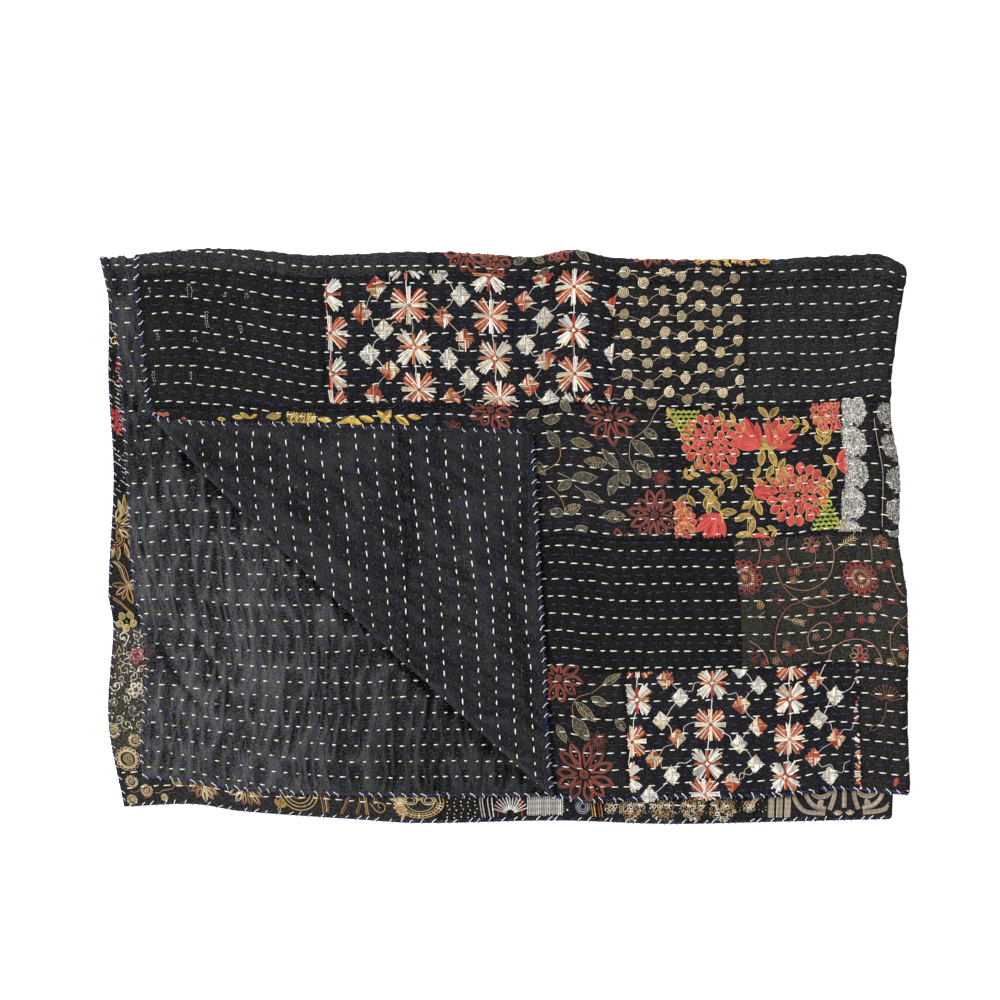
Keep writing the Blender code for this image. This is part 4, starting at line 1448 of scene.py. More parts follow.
# flowers and leaves: (u, v, radius, petals), (base, tip, width) and stems
flowerPatch = {
    "lift": -4,
    "flowers": [(208, 13, 32, 9), (252, 127, 33, 11), (212, 168, 27, 9), (66, 8, 27, 9)],
    "small": [(261, 84, 11), (18, 34, 12)],
    "leaves": [
        (143, 54, 130, 32, 12), (157, 47, 183, 50, 11), (197, 67, 169, 69, 12), (210, 72, 193, 51, 11),
        (210, 74, 222, 92, 13), (207, 80, 197, 105, 12), (153, 90, 184, 85, 13), (153, 93, 135, 103, 11),
        (166, 104, 190, 114, 10), (142, 131, 163, 120, 12), (142, 132, 125, 126, 11),
        (189, 128, 217, 128, 14), (231, 39, 255, 59, 13), (230, 63, 248, 83, 17), (247, 28, 263, 35, 12),
        (154, 153, 170, 144, 12), (152, 1, 162, 14, 10), (127, 20, 148, 20, 12), (107, 17, 124, 6, 9),
        (108, 66, 122, 84, 11), (92, 40, 112, 34, 10),
    ],
    "stems": [
        [(143, 54), (142, 64), (136, 72), (122, 78), (110, 80)], [(145, 52), (157, 46)],
        [(228, 70), (217, 61), (210, 48), (208, 43)],
        [(229, 73), (225, 61), (227, 48), (231, 39), (242, 32), (255, 21), (263, 8), (270, 1)],
        [(136, 83), (146, 88), (153, 92)], [(156, 98), (166, 104)],
        [(124, 96), (139, 113), (143, 125), (142, 131)], [(70, 36), (84, 52), (98, 66), (104, 80)],
        [(92, 40), (98, 56), (108, 66)],
    ],
}
lowerFlowerPatch = {
    "lift": -5,
    "flowers": [(490, 124, 37, 11), (464, 17, 30, 10)],
    "small": [(510, 85, 12)],
    "leaves": [(484, 42, 508, 63, 12), (503, 35, 524, 44, 10), (480, 60, 499, 85, 16), (461, 70, 471, 91, 10),
               (518, 20, 540, 7, 9), (532, 60, 545, 74, 10)],
    "stems": [[(470, 78), (480, 96), (486, 100)], [(482, 62), (480, 48), (488, 36), (504, 30), (518, 20)]],
}


def sewFlowers(name, look, flowerColours):
    cloth = patchOf(name)
    cloth.origin = cloth.origin + (0, look["lift"])
    for stem in look["stems"]:
        sew(cloth, smoothPath(stem, 3), pick(["olive", "paleOlive", "tan"]), 1.0)
    for u, v, tipU, tipV, wide in look["leaves"]:
        leaf(cloth, (u, v), (tipU, tipV), wide)
    for u, v, radius, petals in look["flowers"]:
        outlineFlower(cloth, (u, v), radius, petals, flowerColours, 1.9, vary(0, 1))
    for u, v, radius in look["small"]:
        for angle in spokes(8):
            base, tip = at((u, v), angle, 1.5), at((u, v), angle, radius)
            sew(cloth, petalEdge(base, tip, radius * 0.3, 0.6, 3), flowerColours[0], 1.4)


# pompoms and sprays: round coral flowers, tulips and gold sprays between, lime zigzag borders
pompomPatch = {
    "pompoms": [(50, 44, 36), (150, 106, 38), (199, 12, 24), (2, 136, 26)],
    "tulips": [
        (112, 50, -2.35, 44), (120, 50, -0.75, 46), (56, 124, 2.1, 42), (92, 150, 0.9, 34),
        (196, 76, -0.2, 36), (96, 104, -0.35, 26),
    ],
    "sprays": [
        (88, 84, -0.2, 40), (84, 80, 2.6, 42), (122, 58, -1.5, 44), (104, 104, 1.9, 46), (182, 58, -1.4, 34),
        (20, 96, 1.7, 40), (16, 26, 3.9, 30), (196, 140, 0.4, 34), (120, 70, 0.6, 34), (98, 30, 3.6, 30),
        (190, 84, 1.9, 34), (36, 98, 0.9, 34), (176, 30, 3.4, 28), (10, 84, -0.6, 26), (128, 146, 2.8, 28),
    ],
    "zigzags": [(2, 0, 42), (164, 153, -42)],
}


def pompom(cloth, centre, radius):
    bead(cloth, centre, "gold", 1.4)
    for far, petals, reach in ((0.1, 7, 0.3), (0.34, 12, 0.3), (0.6, 17, 0.4)):
        wide = min(fullTurn * radius * (far + reach * 0.6) / petals * 0.95, radius * 0.3)
        for angle in spokes(petals, fullTurn * far * 5 / petals):
            angle = angle + vary(-0.05, 0.05)
            base, tip = at(centre, angle, radius * far), at(centre, angle, radius * (far + reach))
            filledPetal(cloth, base, tip, wide * 0.82, ["coral", "coral", "deepCoral"], 1.5, 0.6)
            sew(cloth, petalEdge(base, tip, wide, 0.6, 5), "peach", 0.9, 0.15)


def tulip(cloth, base, angle, size):
    corals = ["coral", "coral", "coral", "deepCoral"]
    for turn, reach, wide in (
            (-0.72, 0.74, 0.22), (-0.38, 0.94, 0.3), (0, 1.0, 0.32), (0.38, 0.94, 0.3), (0.72, 0.74, 0.22)):
        start, tip = at(base, angle + turn * 0.4, size * 0.06), at(base, angle + turn, size * reach)
        filledPetal(cloth, start, tip, size * wide, corals, 1.6, 0.55)
    for half in (-1, 1):
        goldLeaf(cloth, base, at(base, angle + half * 2.1, size * 0.5), size * 0.2)


def goldLeaf(cloth, base, tip, wide):
    filledPetal(cloth, base, tip, wide * 0.85, ["gold", "darkGold", "gold"], 1.3, 0.5, 1.1)
    sew(cloth, petalEdge(base, tip, wide, 0.5, 5), "yellow", 1.0, 0.2)


def spray(cloth, base, angle, size):
    stem = smoothPath([base, at(base, angle, size * 0.5, size * 0.12), at(base, angle, size)], 4)
    sew(cloth, stem, "gold", 1.3)
    for share in (0.25, 0.6, 1.0):
        root = stem[int(share * (len(stem) - 1))]
        for half in (-1, 1):
            goldLeaf(cloth, root, at(root, angle + half * 0.75, size * 0.42), size * 0.17)


def zigzagBand(cloth, u, v, rise):
    # stacked zigzags narrowing to a point
    levels, pitch = 8, 3.2
    for level in range(levels):
        wide = abs(rise) * 0.95 * (1 - level / levels)
        for lower in (0, 1.5):
            top = v + rise / levels * level + lower
            steps = range(int(wide / pitch) + 1)
            sew(cloth, [(u + k * pitch - wide / 2, top + 3.0 * (k % 2)) for k in steps], "lime", 1.6)


def sewPompoms():
    cloth, look = patchOf("pompoms"), pompomPatch
    for u, v, angle, size in look["sprays"]:
        spray(cloth, (u, v), angle, size)
    for u, v, rise in look["zigzags"]:
        zigzagBand(cloth, u + 22, v + (4 if rise > 0 else -6), rise)
    for u, v, angle, size in look["tulips"]:
        tulip(cloth, (u, v), angle, size)
    for u, v, radius in look["pompoms"]:
        pompom(cloth, (u, v), radius)


# scallops: seed-stitched silver discs in two columns
def sewScallops():
    cloth, edge = patchOf("scallops"), patchOf("foldScallops")
    cloth.origin, cloth.size = cloth.origin + (16, 0), (55, cloth.size[1])
    sew(edge, [(0.8, 24), (1.2, 90), (0.8, 150)], "dullSilver", 0.8)
    for number in range(5):
        u, v = 32.0 - 3.6 * number, 15.5 + 36.8 * number
        silvers = ["silver", "silver", "dullSilver", "white", "dullSilver"]
        seedDisc(cloth, (u, v), 14, 18.2, silvers, 1.75, (0.5, 18.0, 3.2), 7.0)
        sew(cloth, [(u - 15, v + 18.4), (u + 4, v + 18.6)], "dullSilver", 0.6)
        seedDisc(edge, (19, v + 2), 14, 15.5, ["dullSilver"] * 3 + ["silver"], 2.1, (-8, 14, 4))
        seedDisc(edge, (50, v + 10), 11, 14, ["dullSilver", "olive"], 2.6)


# vines: curling stems with rosettes, small flowers and feathers
vinePatch = {
    "stems": [
        [(31, -3), (33, 10), (30, 24), (27, 30)],
        [(67, -3), (65, 10), (68, 25), (78, 33), (93, 31), (99, 22), (98, 10)],
        [(114, -3), (121, 10), (120, 27), (112, 45), (100, 55), (83, 61), (66, 58), (55, 52)],
        [(49, 29), (50, 40), (55, 55), (66, 68), (75, 75), (86, 81), (104, 81), (119, 75), (128, 68),
         (134, 65)],
        [(73, 74), (58, 80), (47, 95), (42, 113), (42, 130), (50, 147)],
        [(75, 73), (90, 71), (103, 72), (113, 77)], [(30, 85), (22, 91), (10, 93)],
        [(166, 0), (167, 14), (166, 25)], [(167, 63), (170, 73), (169, 80)],
        [(206, 74), (189, 92), (181, 107), (180, 123), (185, 136), (190, 147)],
        [(187, 30), (189, 44), (197, 58), (212, 68)],
        [(96, 121), (106, 118), (110, 110), (106, 102), (96, 101), (86, 107), (81, 116), (83, 128), (91, 136),
         (103, 136), (111, 131), (123, 123), (136, 119), (149, 119), (159, 123), (167, 133), (171, 143)],
        [(106, 147), (108, 138), (111, 131)], [(10, 120), (22, 128), (30, 138), (33, 147)],
        [(206, 20), (216, 34), (214, 52)], [(189, 92), (200, 98), (214, 100)],
    ],
    "rosettes": [(149, 46, 22), (10, 46, 22)],
    "small": [
        (51, 23), (66, 38), (74, 38), (68, 48), (103, 66), (86, 86), (25, 78), (165, 78), (91, 117),
        (132, 113), (55, 124), (64, 130), (58, 133), (42, 143), (28, 146), (166, 143), (180, 141),
        (194, 121), (194, 130), (186, 25), (146, 95), (158, 94), (212, 88), (222, 30),
    ],
    "large": [(96, 7, 12), (144, 138, 13), (179, 2, 9), (43, 0, 9)],
    "feathers": [(123, 15, 149, 5), (52, 92, 77, 104), (2, 9, 12, 4)],
    "blotches": [(38, 29), (101, 35), (174, 30), (43, 70), (181, 68), (118, 95), (15, 139), (204, 44)],
}


def lowered(points):
    # the vines sink by 8 mm over the first 150
    return [(u, v + 8.0 * min(1.0, max(0.0, u) / 150.0), *rest) for u, v, *rest in points]


def sewVines():
    cloth = patchOf("vines")
    look = {name: lowered(spots) for name, spots in vinePatch.items() if name != "stems"}
    look["stems"] = [lowered(stem) for stem in vinePatch["stems"]]
    for u, v in look["blotches"]:
        for number in range(13):
            start = (u + vary(-7, 6), v + vary(-5, 5))
            sew(cloth, [start, at(start, vary(-0.6, 0.6), 4.5)], "maroon", 1.6, -0.35)
    for stem in look["stems"]:
        sew(cloth, smoothPath(stem, 2.6), pick(["vine", "vine", "clay"]), 1.1)
    for u, v, tipU, tipV in look["feathers"]:
        feather(cloth, (u, v), (tipU, tipV))
    for u, v in look["small"]:
        smallFlower(cloth, (u, v), 4.6, pick(["terracotta", "vine", "vine", "tan"]))
    maroons = ["maroon", "vineRed", "maroon"]
    for u, v, radius in look["large"]:
        for number, angle in enumerate(spokes(8)):
            base, tip = (u, v), at((u, v), angle, radius * vary(0.8, 1.05))
            if 0 < math.sin(angle + 0.3) or number % 3 == 0:
                filledPetal(cloth, at(base, angle, 1.5), tip, radius * 0.42, maroons, 1.4)
            edge = petalEdge(at(base, angle, 2.5), tip, radius * 0.45, 0.6, 4)
            sew(cloth, edge, pick(["vine", "peachTan"]), 0.8, 0.3)
    for u, v, radius in look["rosettes"]:
        rosette(cloth, (u, v), radius)


# what shows of the narrower pieces on layer 1
goldSprays = [
    (96, 10, 0.1, 12), (88, 13, 3.3, 9), (117, 12, -2.6, 11), (117, 12, -0.5, 9), (135, 10, -0.15, 17),
    (152, 15, 2.7, 14), (196, 9, 0.15, 16), (229, 12, 2.6, 14), (229, 9, 0.35, 20), (247, 8, 0.3, 17),
    (222, 15, -0.4, 17), (272, 16, -0.75, 20), (284, 17, -2.3, 19), (290, 8, 0.6, 18), (306, 8, 0.2, 14),
]


def sewGoldStrip():
    # gold leaves, one dense block of them, and a few rust buds towards the corner
    cloth = patchOf("goldStrip")
    cloth.origin = cloth.origin + (0, 2)
    golds = ["brightGold", "yellow", "darkGold", "brightGold"]
    for u, v, angle, size in goldSprays:
        filledPetal(cloth, (u, v), at((u, v), angle, size * 1.12), size * 0.5, golds, 1.4, 0.55)
    for u in np.arange(160, 192, 3.4):
        for v in (9, 14, 19):
            filledPetal(cloth, (u, v), at((u, v), -1.1, 8), 3.2, golds[:3], 1.4, 0.5)
    for u, v in ((4, 6), (9, 7), (14, 6), (35, 11), (47, 15)):
        filledPetal(cloth, (u, v), (u + 6, v + 1), 4.5, ["rust", "clay", "orange"], 1.4)


def sewFan():
    cloth = patchOf("fan")
    centre = (32, 43)
    for angle in fan(-math.pi / 2, 0.24, 11):
        dash(cloth, centre, angle, 4, 19, "brown", 0.9)
        sew(cloth, [at(centre, angle - 0.06, 19), at(centre, angle + 0.06, 20)], "terracotta", 1.1)
    sew(cloth, smoothPath([(32, 43), (30, 59), (24, 71)], 4), "brown", 0.9)
    sew(cloth, petalEdge((24, 71), (12, 79), 5), "brown", 0.9)
    filledPetal(cloth, (39, 142), (43, 131), 6, ["rust", "clay"], 1.3)
    sew(cloth, smoothPath([(80, 10), (74, 40), (84, 70), (78, 110)], 4), "brown", 0.9)


def sewTopRow():
    # flower petals that run on over the top fold, with leaves and buds between them
    cloth = patchOf("topFlowers")
    depth = cloth.size[1]
    for u, v, radius, petals in (
            (42, 26, 24, 9), (78, 22, 20, 8), (152, 30, 19, 9), (254, 39, 22, 9), (284, 41, 24, 9),
            (20, 80, 26, 9), (108, 92, 26, 10), (196, 84, 26, 9)):
        outlineFlower(cloth, (u, depth - v), radius, petals, ("terracotta", "clay"), 1.6, 0.3)
    for u, v, tipU, tipV in (
            (98, 18, 114, 24), (120, 26, 134, 18), (140, 10, 126, 4), (170, 26, 186, 16), (176, 36, 190, 44),
            (138, 44, 124, 52), (60, 60, 76, 66), (150, 76, 160, 90), (210, 40, 226, 34), (64, 96, 50, 108)):
        leaf(cloth, (u, depth - v), (tipU, depth - tipV), 8)
    cloth = patchOf("topSprays")
    depth = cloth.size[1]
    buds = ["clay", "terracotta", "rust", "coral"]
    for number in range(11):
        u = 2 + number * 8.2
        bud, high, low = ((u, depth - 8), (u + 3, depth - 4), (u, depth - 13))
        filledPetal(cloth, bud, at(bud, 0.8 * math.sin(u), 10), 4.5, buds, 1.3)
        goldLeaf(cloth, high, at(high, 1.2 * math.sin(u * 1.7), 10), 4)
        goldLeaf(cloth, low, at(low, 0.9 * math.sin(u * 1.3), 11), 4.5)
        if number % 2:
            spray(cloth, (u, depth - 20), 0.4 * math.sin(u), 22)
    cloth = patchOf("topPlain")
    for u in (168, 176, 186):
        # counted from the near edge of the sprays' patch, which is less deep
        bar = [(0, 24), (6, 18), (2, 30), (10, 26)]
        sew(cloth, [(u + right, depth - up) for right, up in bar], "red", 1.0)


def sewLeftovers():
    # short pairs of white thread left in the plain patch from an older sewing
    cloth = patchOf("plainLeft")
    for u, v, drop in (
            (60, 14, 17), (78, 46, 18), (116, 62, 9), (62, 76, 4), (54, 116, 10), (126, 24, 5), (14, 14, 6),
            (18, 68, 10), (94, 88, 4), (10, 112, 12), (102, 24, 5)):
        for side in (0, 2.3):
            lean = vary(-1.6, 1.6)
            for start in np.arange(0, drop, 3.4):
                place = (u + side + lean * math.sin(start / drop * math.pi), v + start)
                dash(cloth, place, math.pi / 2 + vary(-0.5, 0.5), 0, 2.3, "silver", 0.7)


# what shows of layer 3: a strip along its left hem and one along its near hem
leftStrip = {"p": -890, "q": -11.6, "width": 62, "length": 623}
nearStrip = {"p": -890, "q": -588, "length": 884, "depth": 47}


def sewLeftStrip():
    cloth = Cloth(leftStrip["p"], leftStrip["q"], 1, -1, leftStrip["width"], leftStrip["length"])
    # beads and short bars down the upper end
    for v in np.arange(8, 54, 4):
        bead(cloth, (vary(3, 20), v), pick(["silver", "steel", "white", "gold"]), 0.8)
    for v in np.arange(54, 106, 7.5):
        scroll(cloth, (vary(5, 15), v), 5.0, pick(["gold", "beige", "brightGold"]), v, 1, 1.5)
    for v in np.arange(112, 262, 5):
        u = vary(5, 22)
        bead(cloth, (u, v), pick(["white", "silver", "white", "green"]), 0.8)
        sew(cloth, [(u - 4, v + 3), (u + 2, v + 7)], pick(["silver", "white"]), 1.0)
    for u, v in ((15, 120), (17, 136), (4, 176), (6, 190)):
        for angle in spokes(6, v):
            base, tip = at((u, v), angle, 1), at((u, v), angle, 9)
            filledPetal(cloth, base, tip, 4.6, ["red", "red", "vineRed"], 1.4)
    # a golden half flower with pointed leaves over and under it, then a sprig
    golds = ["gold", "cream", "brown", "tan", "paleYellow", "darkGold"]
    fanFlower(cloth, (3, 303), 25, -0.1, golds, 2.5, 6, 1.1)
    for radius in (4, 7, 10):
        sew(cloth, ring((5, 318), radius, 10, -0.6, 2.6), pick(["gold", "clay", "cream"]), 1.2)
    for u, v, tipU, tipV in (
            (13, 288, 12, 266), (15, 289, 20, 268), (17, 292, 27, 275), (10, 290, 5, 272), (15, 322, 22, 341),
            (19, 318, 28, 332), (9, 326, 9, 343), (4, 328, 1, 340)):
        filledPetal(cloth, (u, v), (tipU, tipV), 5.5, golds, 1.1, 0.5, 1.3)
    for aside, colour in ((0, "cream"), (2.2, "brown"), (4.4, "tan"), (-2.2, "gold")):
        stem = [(4 + aside, 343), (12 + aside, 350), (17 + aside, 362), (21, 370)]
        sew(cloth, smoothPath(stem, 3), colour, 1.1)
    for u, v, wide in ((32, 364, 6), (26, 393, 7), (8, 382, 7), (3, 370, 6), (15, 388, 6), (33, 376, 5)):
        for lane in (0, 2.6):
            edge = petalEdge((21, 371), (u, v), wide - lane, 0.55, 6)
            sew(cloth, edge, pick(["tan", "gold", "cream", "brown", "beige"]), 1.15)
    for aside in (0, 2.4):
        stem = [(4, 384 + aside), (12, 390 + aside), (20, 401 + aside)]
        sew(cloth, smoothPath(stem, 3), pick(["tan", "brown"]), 1.2)
    for angle in spokes(5, 0.3):
        middle = at((14, 412), angle, 8.0)
        spiralDot(cloth, middle, 5.0, "paleYellow", 1.3, 1.9)
        bead(cloth, middle, "rust", 0.8)
    bead(cloth, (14, 412), "green", 1.0)
    # scrolls, small flowers and beads
    for u, v, radius, hand in (
            (11, 430, 6, 1), (26, 430, 5, -1), (8, 446, 5, -1), (16, 467, 7, 1), (7, 486, 6, 1),
            (36, 440, 5, 1), (28, 514, 7, -1), (12, 524, 5, 1), (34, 468, 4, 1), (20, 500, 5, -1),
            (38, 500, 4, 1), (6, 506, 5, -1), (20, 530, 6, 1), (18, 450, 4, 1), (26, 476, 5, -1),
            (12, 478, 4, 1), (34, 532, 4, 1)):
        scroll(cloth, (u, v), radius, pick(["white", "white", "silver", "pinkBeige", "lilac"]), u, hand, 1.15)
    for centre, radius, outer, inner in (
            ((28, 452), 10, "deepCoral", "lilac"), ((30, 491), 9.5, "white", "cream")):
        for angle in spokes(5, 0.4):
            middle = at(centre, angle, radius * 0.62)
            sew(cloth, ring(middle, radius * 0.34, 8), outer, 1.3)
            sew(cloth, ring(middle, radius * 0.2, 8), inner, 1.3)
        bead(cloth, centre, "clay", 1.2)
    upper = ["white", "silver", "white", "cream", "clay"]
    lower = ["white", "silver", "green", "green", "lime"]
    for v in np.arange(422, 542, 0.6):
        u = vary(2, 42)
        bead(cloth, (u, v), pick(lower if v > 485 else upper), vary(0.6, 1.05))
    # wound rosettes down to the corner
    for u, v, radius in (
            (3, 538, 8), (27, 549, 7.4), (15, 570, 14), (14, 596, 7), (29, 607, 7), (10, 617, 6)):
        rosetteGold(cloth, (u, v), radius)


def rosetteGold(cloth, centre, radius):
    # a wound disc, a dark gap, and a rim of small loops
    spiralDot(cloth, centre, radius * 0.5, "beige", 1.2, 1.9)
    if radius > 10:
        for far in (0.62, 0.7, 0.78):
            sew(cloth, ring(centre, radius * far, 22), "beige", 1.2)
    for angle in spokes(8 + int(radius * 0.6)):
        loop = ring(at(centre, angle, radius * 0.84), radius * 0.15, 7)
        sew(cloth, loop, pick(["beige", "cream", "beige", "tan"]), 1.2)
    sew(cloth, ring(centre, radius * 0.66, 16), "beige", 1.0, 0.2)


def band(cloth, points, lanes, colours, thread):
    # parallel threads along a path, a thin line of cloth showing between them
    path = smoothPath(points, 3)
    way = np.gradient(path, axis=0)
    side = np.stack([-way[:, 1], way[:, 0]], axis=1) / np.maximum(1e-6, np.hypot(*way.T))[:, None]
    for lane in np.arange(lanes) - (lanes - 1) / 2:
        sew(cloth, path + side * lane * thread * 1.2, pick(colours), thread)


def oval(middle, reach, angle):
    return (middle[0] + reach[0] * math.cos(angle), middle[1] + reach[1] * math.sin(angle))


def sewNearStrip():
    cloth = Cloth(nearStrip["p"], nearStrip["q"], 1, -1, nearStrip["length"], nearStrip["depth"])
    low = nearStrip["depth"] - 4
    golds = ["gold", "tan", "cream", "brown", "beige", "cream"]
    # u runs from the left hem; buttons on stems, then half flowers hanging from the hem above
    for u, v, radius in ((66, 22, 6), (48, 40, 4)):
        rosetteGold(cloth, (u, v), radius)
    for start, end in (
            ((10, 30), (32, 38)), ((38, 34), (58, 30)), ((58, 32), (80, 20)), ((66, 28), (84, 32))):
        link(cloth, start, end, "tan", 1.0)
    for u, v, radius, petals in ((98, 24, 20, 7), (146, 20, 25, 8)):
        fanFlower(cloth, (u - 3, v), radius, math.pi / 2, golds, 3.0, petals, 1.1)
    fanFlower(cloth, (179, 42), 13, -1.3, ("gold", "tan"), 1.2, 3, 1.3)
    for radius in (9, 14, 18, 22):
        sew(cloth, ring((203, 20), radius, 12, 0.1, math.pi - 0.2), pick(["gold", "tan", "beige"]), 1.4)
    for points in (
            [(226, 10), (228, 26), (230, 43)], [(231, 10), (233, 26), (234, 42)],
            [(264, 16), (257, 28), (250, 43)], [(274, 16), (272, 28), (268, 42)],
            [(279, 16), (278, 28), (280, 42)], [(286, 14), (290, 22), (288, 30)]):
        sew(cloth, smoothPath(points, 3), pick(["gold", "tan", "beige"]), 1.5)
        sew(cloth, smoothPath(points, 3) + (2.2, 0.4), pick(["brown", "tan"]), 1.2)
    scroll(cloth, (296, 32), 7, "gold", 0.4, 1, 1.5)
    # one broad golden flower: pointed petals to the left, then two swirls in a bordered middle
    for angle in fan(math.pi, 0.28, 9):
        base, tip = at((328, 28), angle, 4), at((328, 28), angle, 21 * vary(0.8, 1.1))
        filledPetal(cloth, base, tip, 6, golds, 1.1, 0.5, 1.2)
    middle = (342, 25)
    for radius in (13, 16, 19, 22):
        arc = np.linspace(-0.9, math.pi + 0.4, 18)
        sew(cloth, [oval(middle, (1.25 * radius, 0.8 * radius), angle) for angle in arc], pick(golds), 1.3)
    for angle in 0.1 + 0.19 * np.arange(16):
        border = [oval(middle, reach, angle) for reach in ((20, 12), (28, 18))]
        sew(cloth, border, pick(["gold", "tan", "cream"]), 1.4, 0.3)
    for u in (331, 352):
        for reach in ((8, 5), (4.8, 3)):
            sew(cloth, [oval((u, 23), reach, angle) for angle in np.linspace(0, fullTurn, 12)], "cream", 1.1)
    for angle in fan(-math.pi / 2, 0.35, 5):
        dash(cloth, (341, 24), angle, 1, 12, "gold", 1.5)
    # beads, silver bars and a silver block
    for column, u in enumerate(np.arange(374, 410, 8)):
        for v in np.arange(12, low, 4.2):
            spot = (u + 1.5 * math.sin(v), v + column % 2)
            bead(cloth, spot, pick(["white", "silver", "yellow", "cream"]), 0.8)
    for u, bow, colour in (
            (414, 3, "silver"), (417, 3, "white"), (423, 3, "silver"), (427, 2, "white"), (432, 0, "red")):
        sew(cloth, smoothPath([(u, 12), (u - bow, 26), (u, low)], 4), colour, 1.3)
    for number in range(13):
        colours = ["white", "silver", "white", "red"] if number % 4 == 3 else ["white", "silver"]
        dash(cloth, (446, 40), -math.pi * (0.1 + 0.8 * number / 12), 5, 21, pick(colours), 1.5)
    for start, end, colour in (
            ((452, 14), (456, 30), "gold"), ((458, 12), (460, 44), "red"), ((448, 14), (462, 20), "silver")):
        sew(cloth, [start, end], colour, 1.6)
    for u in np.arange(466, 508, 2.1):
        top, bottom = 10 + vary(-1, 1), low - vary(0, 2)
        bar = [(u, top), (u + 0.6, (top + bottom) / 2), (u, bottom)]
        sew(cloth, bar, pick(["silver", "white", "silver"]), 1.5)
    for v in np.arange(13, low - 2, 2.6):
        sew(cloth, [(466, v), (508, v + vary(-1, 1))], pick(["silver", "dullSilver"]), 1.0, 0.5)
    for u, v in ((513, 18), (516, 26), (512, 36)):
        bead(cloth, (u, v), pick(["brightGold", "white"]), 1.0)
    for radius, colour in ((3.4, "steel"), (6.0, "silver"), (8.2, "steel")):
        sew(cloth, ring((530, 32), radius, 14), colour, 1.4)
    for u, colour in ((541, "gold"), (544, "brightGold"), (549, "red"), (552, "gold")):
        sew(cloth, [(u, 12), (u - 2, 26), (u + 1, low)], colour, 1.4)
    # roses of small curls
    for u in (562, 587, 622, 657, 692, 722):
        centre = (u, 31 + 1.5 * math.sin(u))
        rings = ((3, 1.8), (8, 5.2), (14, 9.2), (17, 12.8)) if 570 < u < 700 else ((3, 1.8), (9, 5.4))
        for count, far in rings:
            for number, angle in enumerate(spokes(count, far)):
                middle = at(centre, angle, far * vary(0.88, 1.1))
                curl = ring(middle, vary(1.2, 1.9), 6, far * number, vary(4.0, 6.2))
                sew(cloth, curl, pick(["cream", "beige", "gold", "cream", "white", "tan", "darkGold"]), 1.15)
        for k in range(7):
            bead(cloth, at((u + 17, 31), k * 0.9, 3 + k), pick(["gold", "cream", "beige", "tan"]), 0.6)
    # broad pale bands, then a palmette that ends at the fold
    pale = ["pinkBeige", "pinkBeige", "paleStone"]
    band(cloth, [(722, 34), (728, 24), (738, 16)], 4, pale, 1.1)
    for u in (748, 757.5, 767):
        band(cloth, [(u, 2), (u, 22), (u - 0.5, low)], 5, pale, 1.2)
    centre = 832
    band(cloth, [(centre, 8), (centre, 20), (centre, 34)], 4, pale, 1.15)
    for mirror in (-1, 1):
        for points in (
                [(10, 8), (12, 23), (16.5, 36)], [(38, 16), (30, 21.5), (19, 19.5), (13, 9)],
                [(45, 10), (43, 21), (35, 31), (21, 35)], [(60, 13), (55, 27), (45, 37), (22, 40)]):
            band(cloth, [(centre + mirror * u, v) for u, v in points], 4, pale, 1.1)
        spiralDot(cloth, (centre + mirror * 27, 28.5), 4.0, "pinkBeige", 1.3, 1.7)
        for angle in fan(-math.pi / 2, 0.45, 5):
            dash(cloth, (centre + mirror * 7, low), angle, 1, 6.5, "pinkBeige", 1.6)


# sew everything, piece by piece
def gatherThreads(name):
    # turns the threads sewn so far into one piece
    flat, inside, half = (np.concatenate([row[column] for row in sewn]) for column in range(3))
    counts = [len(row[0]) for row in sewn]
    tint = np.repeat([(*row[3], 1.0) for row in sewn], counts, axis=0)
    raised = np.repeat([row[4] for row in sewn], counts)
    lastOnes = np.zeros(len(flat), bool)
    lastOnes[np.cumsum(counts) - 1] = True
    place, _, spot = onCloth(flat[:, 0], flat[:, 1], 1, stranding["height"] + raised)
    keep = inside & ~hidden(spot, 1)
    joined = keep & np.roll(keep, -1) & ~lastOnes
    place[:, 2] = np.maximum(place[:, 2], half)       # nothing reaches below the floor
    guide = guideMesh(place, joined, {
        "half": ("FLOAT", "value", half * mm), "tint": ("FLOAT_COLOR", "color", tint)})
    print(name, "threads", len(sewn), "points", len(flat))
    sewn.clear()
    return growThreads(name, guide, laidTree, {"Sides": 4, "Material": strandedThread})


for name in starPatches:
    sewStars(name)
embroideryPieces = [gatherThreads("starEmbroidery")]
sewDots()
sewFlowers("flowers", flowerPatch, ("terracotta", "darkRust"))
sewFlowers("lowerFlowers", lowerFlowerPatch, ("darkRust", "terracotta"))
sewTopRow()
sewLeftovers()
embroideryPieces.append(gatherThreads("flowerEmbroidery"))
sewPompoms()
sewScallops()
embroideryPieces.append(gatherThreads("pompomEmbroidery"))
sewVines()
sewGoldStrip()
sewFan()
embroideryPieces.append(gatherThreads("vineEmbroidery"))
sewLeftStrip()
sewNearStrip()
embroideryPieces.append(gatherThreads("innerEmbroidery"))


# make the pieces
faceCloth = makeCloth("patchworkCloth", 1, *clothLines("face", True), faceCotton)
backingCloth = makeCloth("backingCloth", -1, *clothLines("back", False), backingCotton)
for cloth in (faceCloth, backingCloth):
    print(cloth.name, "triangles", sum(len(f.vertices) - 2 for f in cloth.data.polygons))

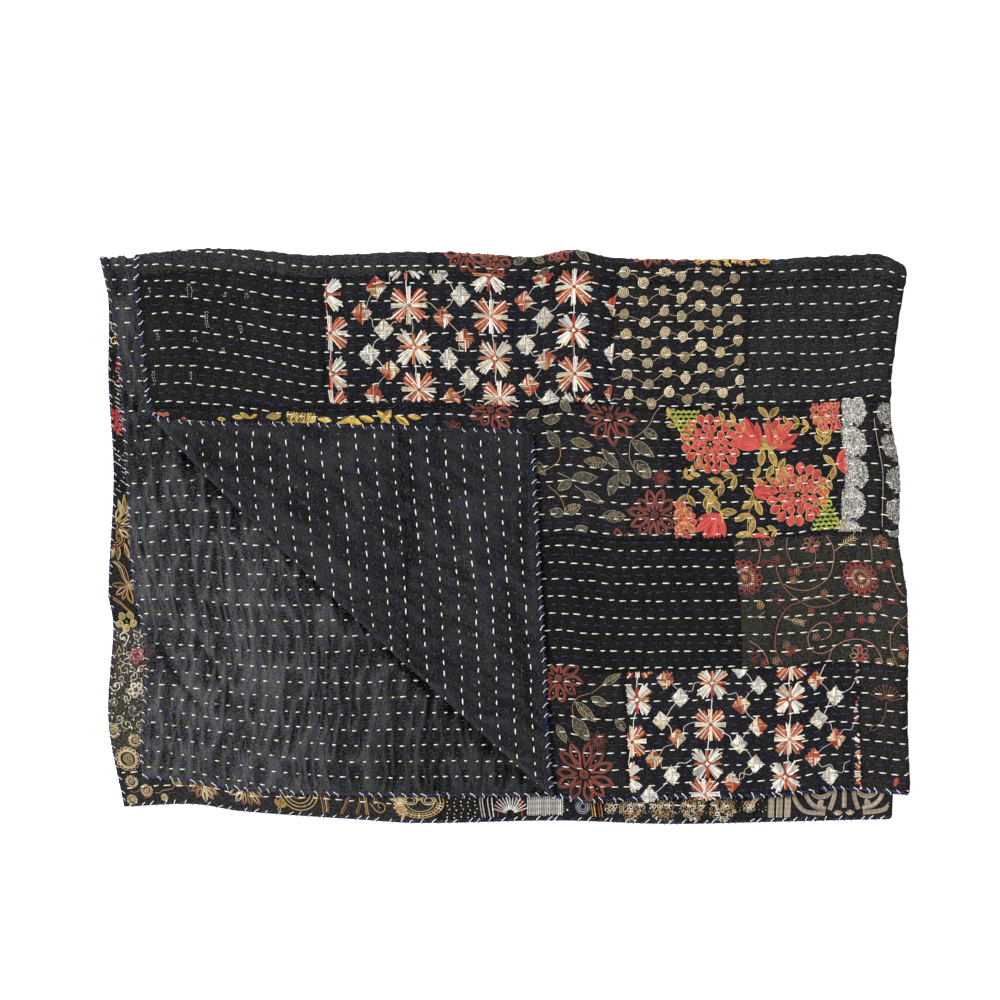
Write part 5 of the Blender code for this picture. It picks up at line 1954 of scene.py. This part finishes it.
rowSettings = {
    "Stitch Pitch": quilting["stitch"] * mm, "Thread": quilting["thread"] * mm, "Material": whiteThread}
whiteRows = sewRows("whiteQuilting", [(1, 1, 1), (1, -1, -1)], 0.0, rowSettings)
undersideRows = sewRows("undersideQuilting", [(1, 1, -1)], 0.0, rowSettings | {"Steps": 5, "Rise": 0.1 * mm})
backRows = sewRows("backingQuilting", [(-1, 1, 1), (-1, -1, 1)], 0.0, rowSettings | {
    "Stitch Pitch": 13.9 * mm, "Share Sewn": 0.4, "Share Vary": 0.13, "Steps": 8, "Thread": 1.7 * mm})
blueRows = sewRows("blueQuilting", [(1, 1, 1), (1, -1, -1)], 0.5, rowSettings | {
    "Steps": 5, "Thread": 1.0 * mm, "Rise": 0.5 * mm, "Material": blueThread})
blueBackRows = sewRows("blueBackingQuilting", [(-1, 1, 1), (-1, -1, 1)], 0.5, rowSettings | {
    "Stitch Pitch": 13.9 * mm, "Share Sewn": 0.42, "Steps": 6, "Thread": 1.1 * mm, "Rise": 0.6 * mm,
    "Material": blueThread})
whiteHems = sewHems("whiteWhipping", whiteThread, shift=0.0, seed=31, thread=whipping["thread"])
blueHems = sewHems("blueWhipping", blueThread, 4.5, 32, 1.1, depth=0.6, slantBy=1.5, pitch=8.5)
quiltingPieces = [whiteRows, undersideRows, backRows, blueRows, blueBackRows, whiteHems, blueHems]


# floor and light
def makeStage():
    material = bpy.data.materials.new("paleFloor")
    material.use_nodes = True
    shader = material.node_tree.nodes["Principled BSDF"]
    shader.inputs["Base Color"].default_value = (*linearColour(studio["floorColour"]), 1)
    shader.inputs["Roughness"].default_value = 0.9
    shader.inputs["Specular IOR Level"].default_value = 0.1
    # a little light of its own, so it stays white in the shade
    shader.inputs["Emission Color"].default_value = (1, 1, 1, 1)
    shader.inputs["Emission Strength"].default_value = studio["floorGlow"]
    mesh = bpy.data.meshes.new("floor")
    far = 6.0
    mesh.from_pydata([(-far, -far, 0), (far, -far, 0), (far, far, 0), (-far, far, 0)], [], [(0, 1, 2, 3)])
    mesh.materials.append(material)
    floor = bpy.data.objects.new("floor", mesh)
    bpy.context.scene.collection.objects.link(floor)


def makeStudio():
    # an even white room, and one broad lamp low on the left that brings out the relief
    world = bpy.context.scene.world or bpy.data.worlds.new("studio")
    bpy.context.scene.world = world
    world.use_nodes = True
    background = world.node_tree.nodes["Background"]
    background.inputs[0].default_value = (1, 1, 1, 1)
    background.inputs[1].default_value = studio["room"]
    data = bpy.data.lights.new("keyLight", "SUN")
    data.energy = studio["lamp"]
    data.angle = math.radians(studio["lampWidth"])
    light = bpy.data.objects.new("keyLight", data)
    light.rotation_euler = (math.radians(90 - studio["lampHeight"]), 0, math.radians(studio["lampSide"]))
    bpy.context.scene.collection.objects.link(light)
    bpy.context.scene.view_settings.view_transform = "Standard"


makeStage()
makeStudio()
print("studio made")

# attach the pieces to the root body, and hide the parts of model.glb that they stand in for
for piece, slot in ((faceCloth, "face_cloth"), (backingCloth, "backing_cloth")):
    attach(piece, "root")
for piece in quiltingPieces:
    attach(piece, "root")
for piece in embroideryPieces:
    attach(piece, "root")
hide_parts("patchwork_face")
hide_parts("backing")
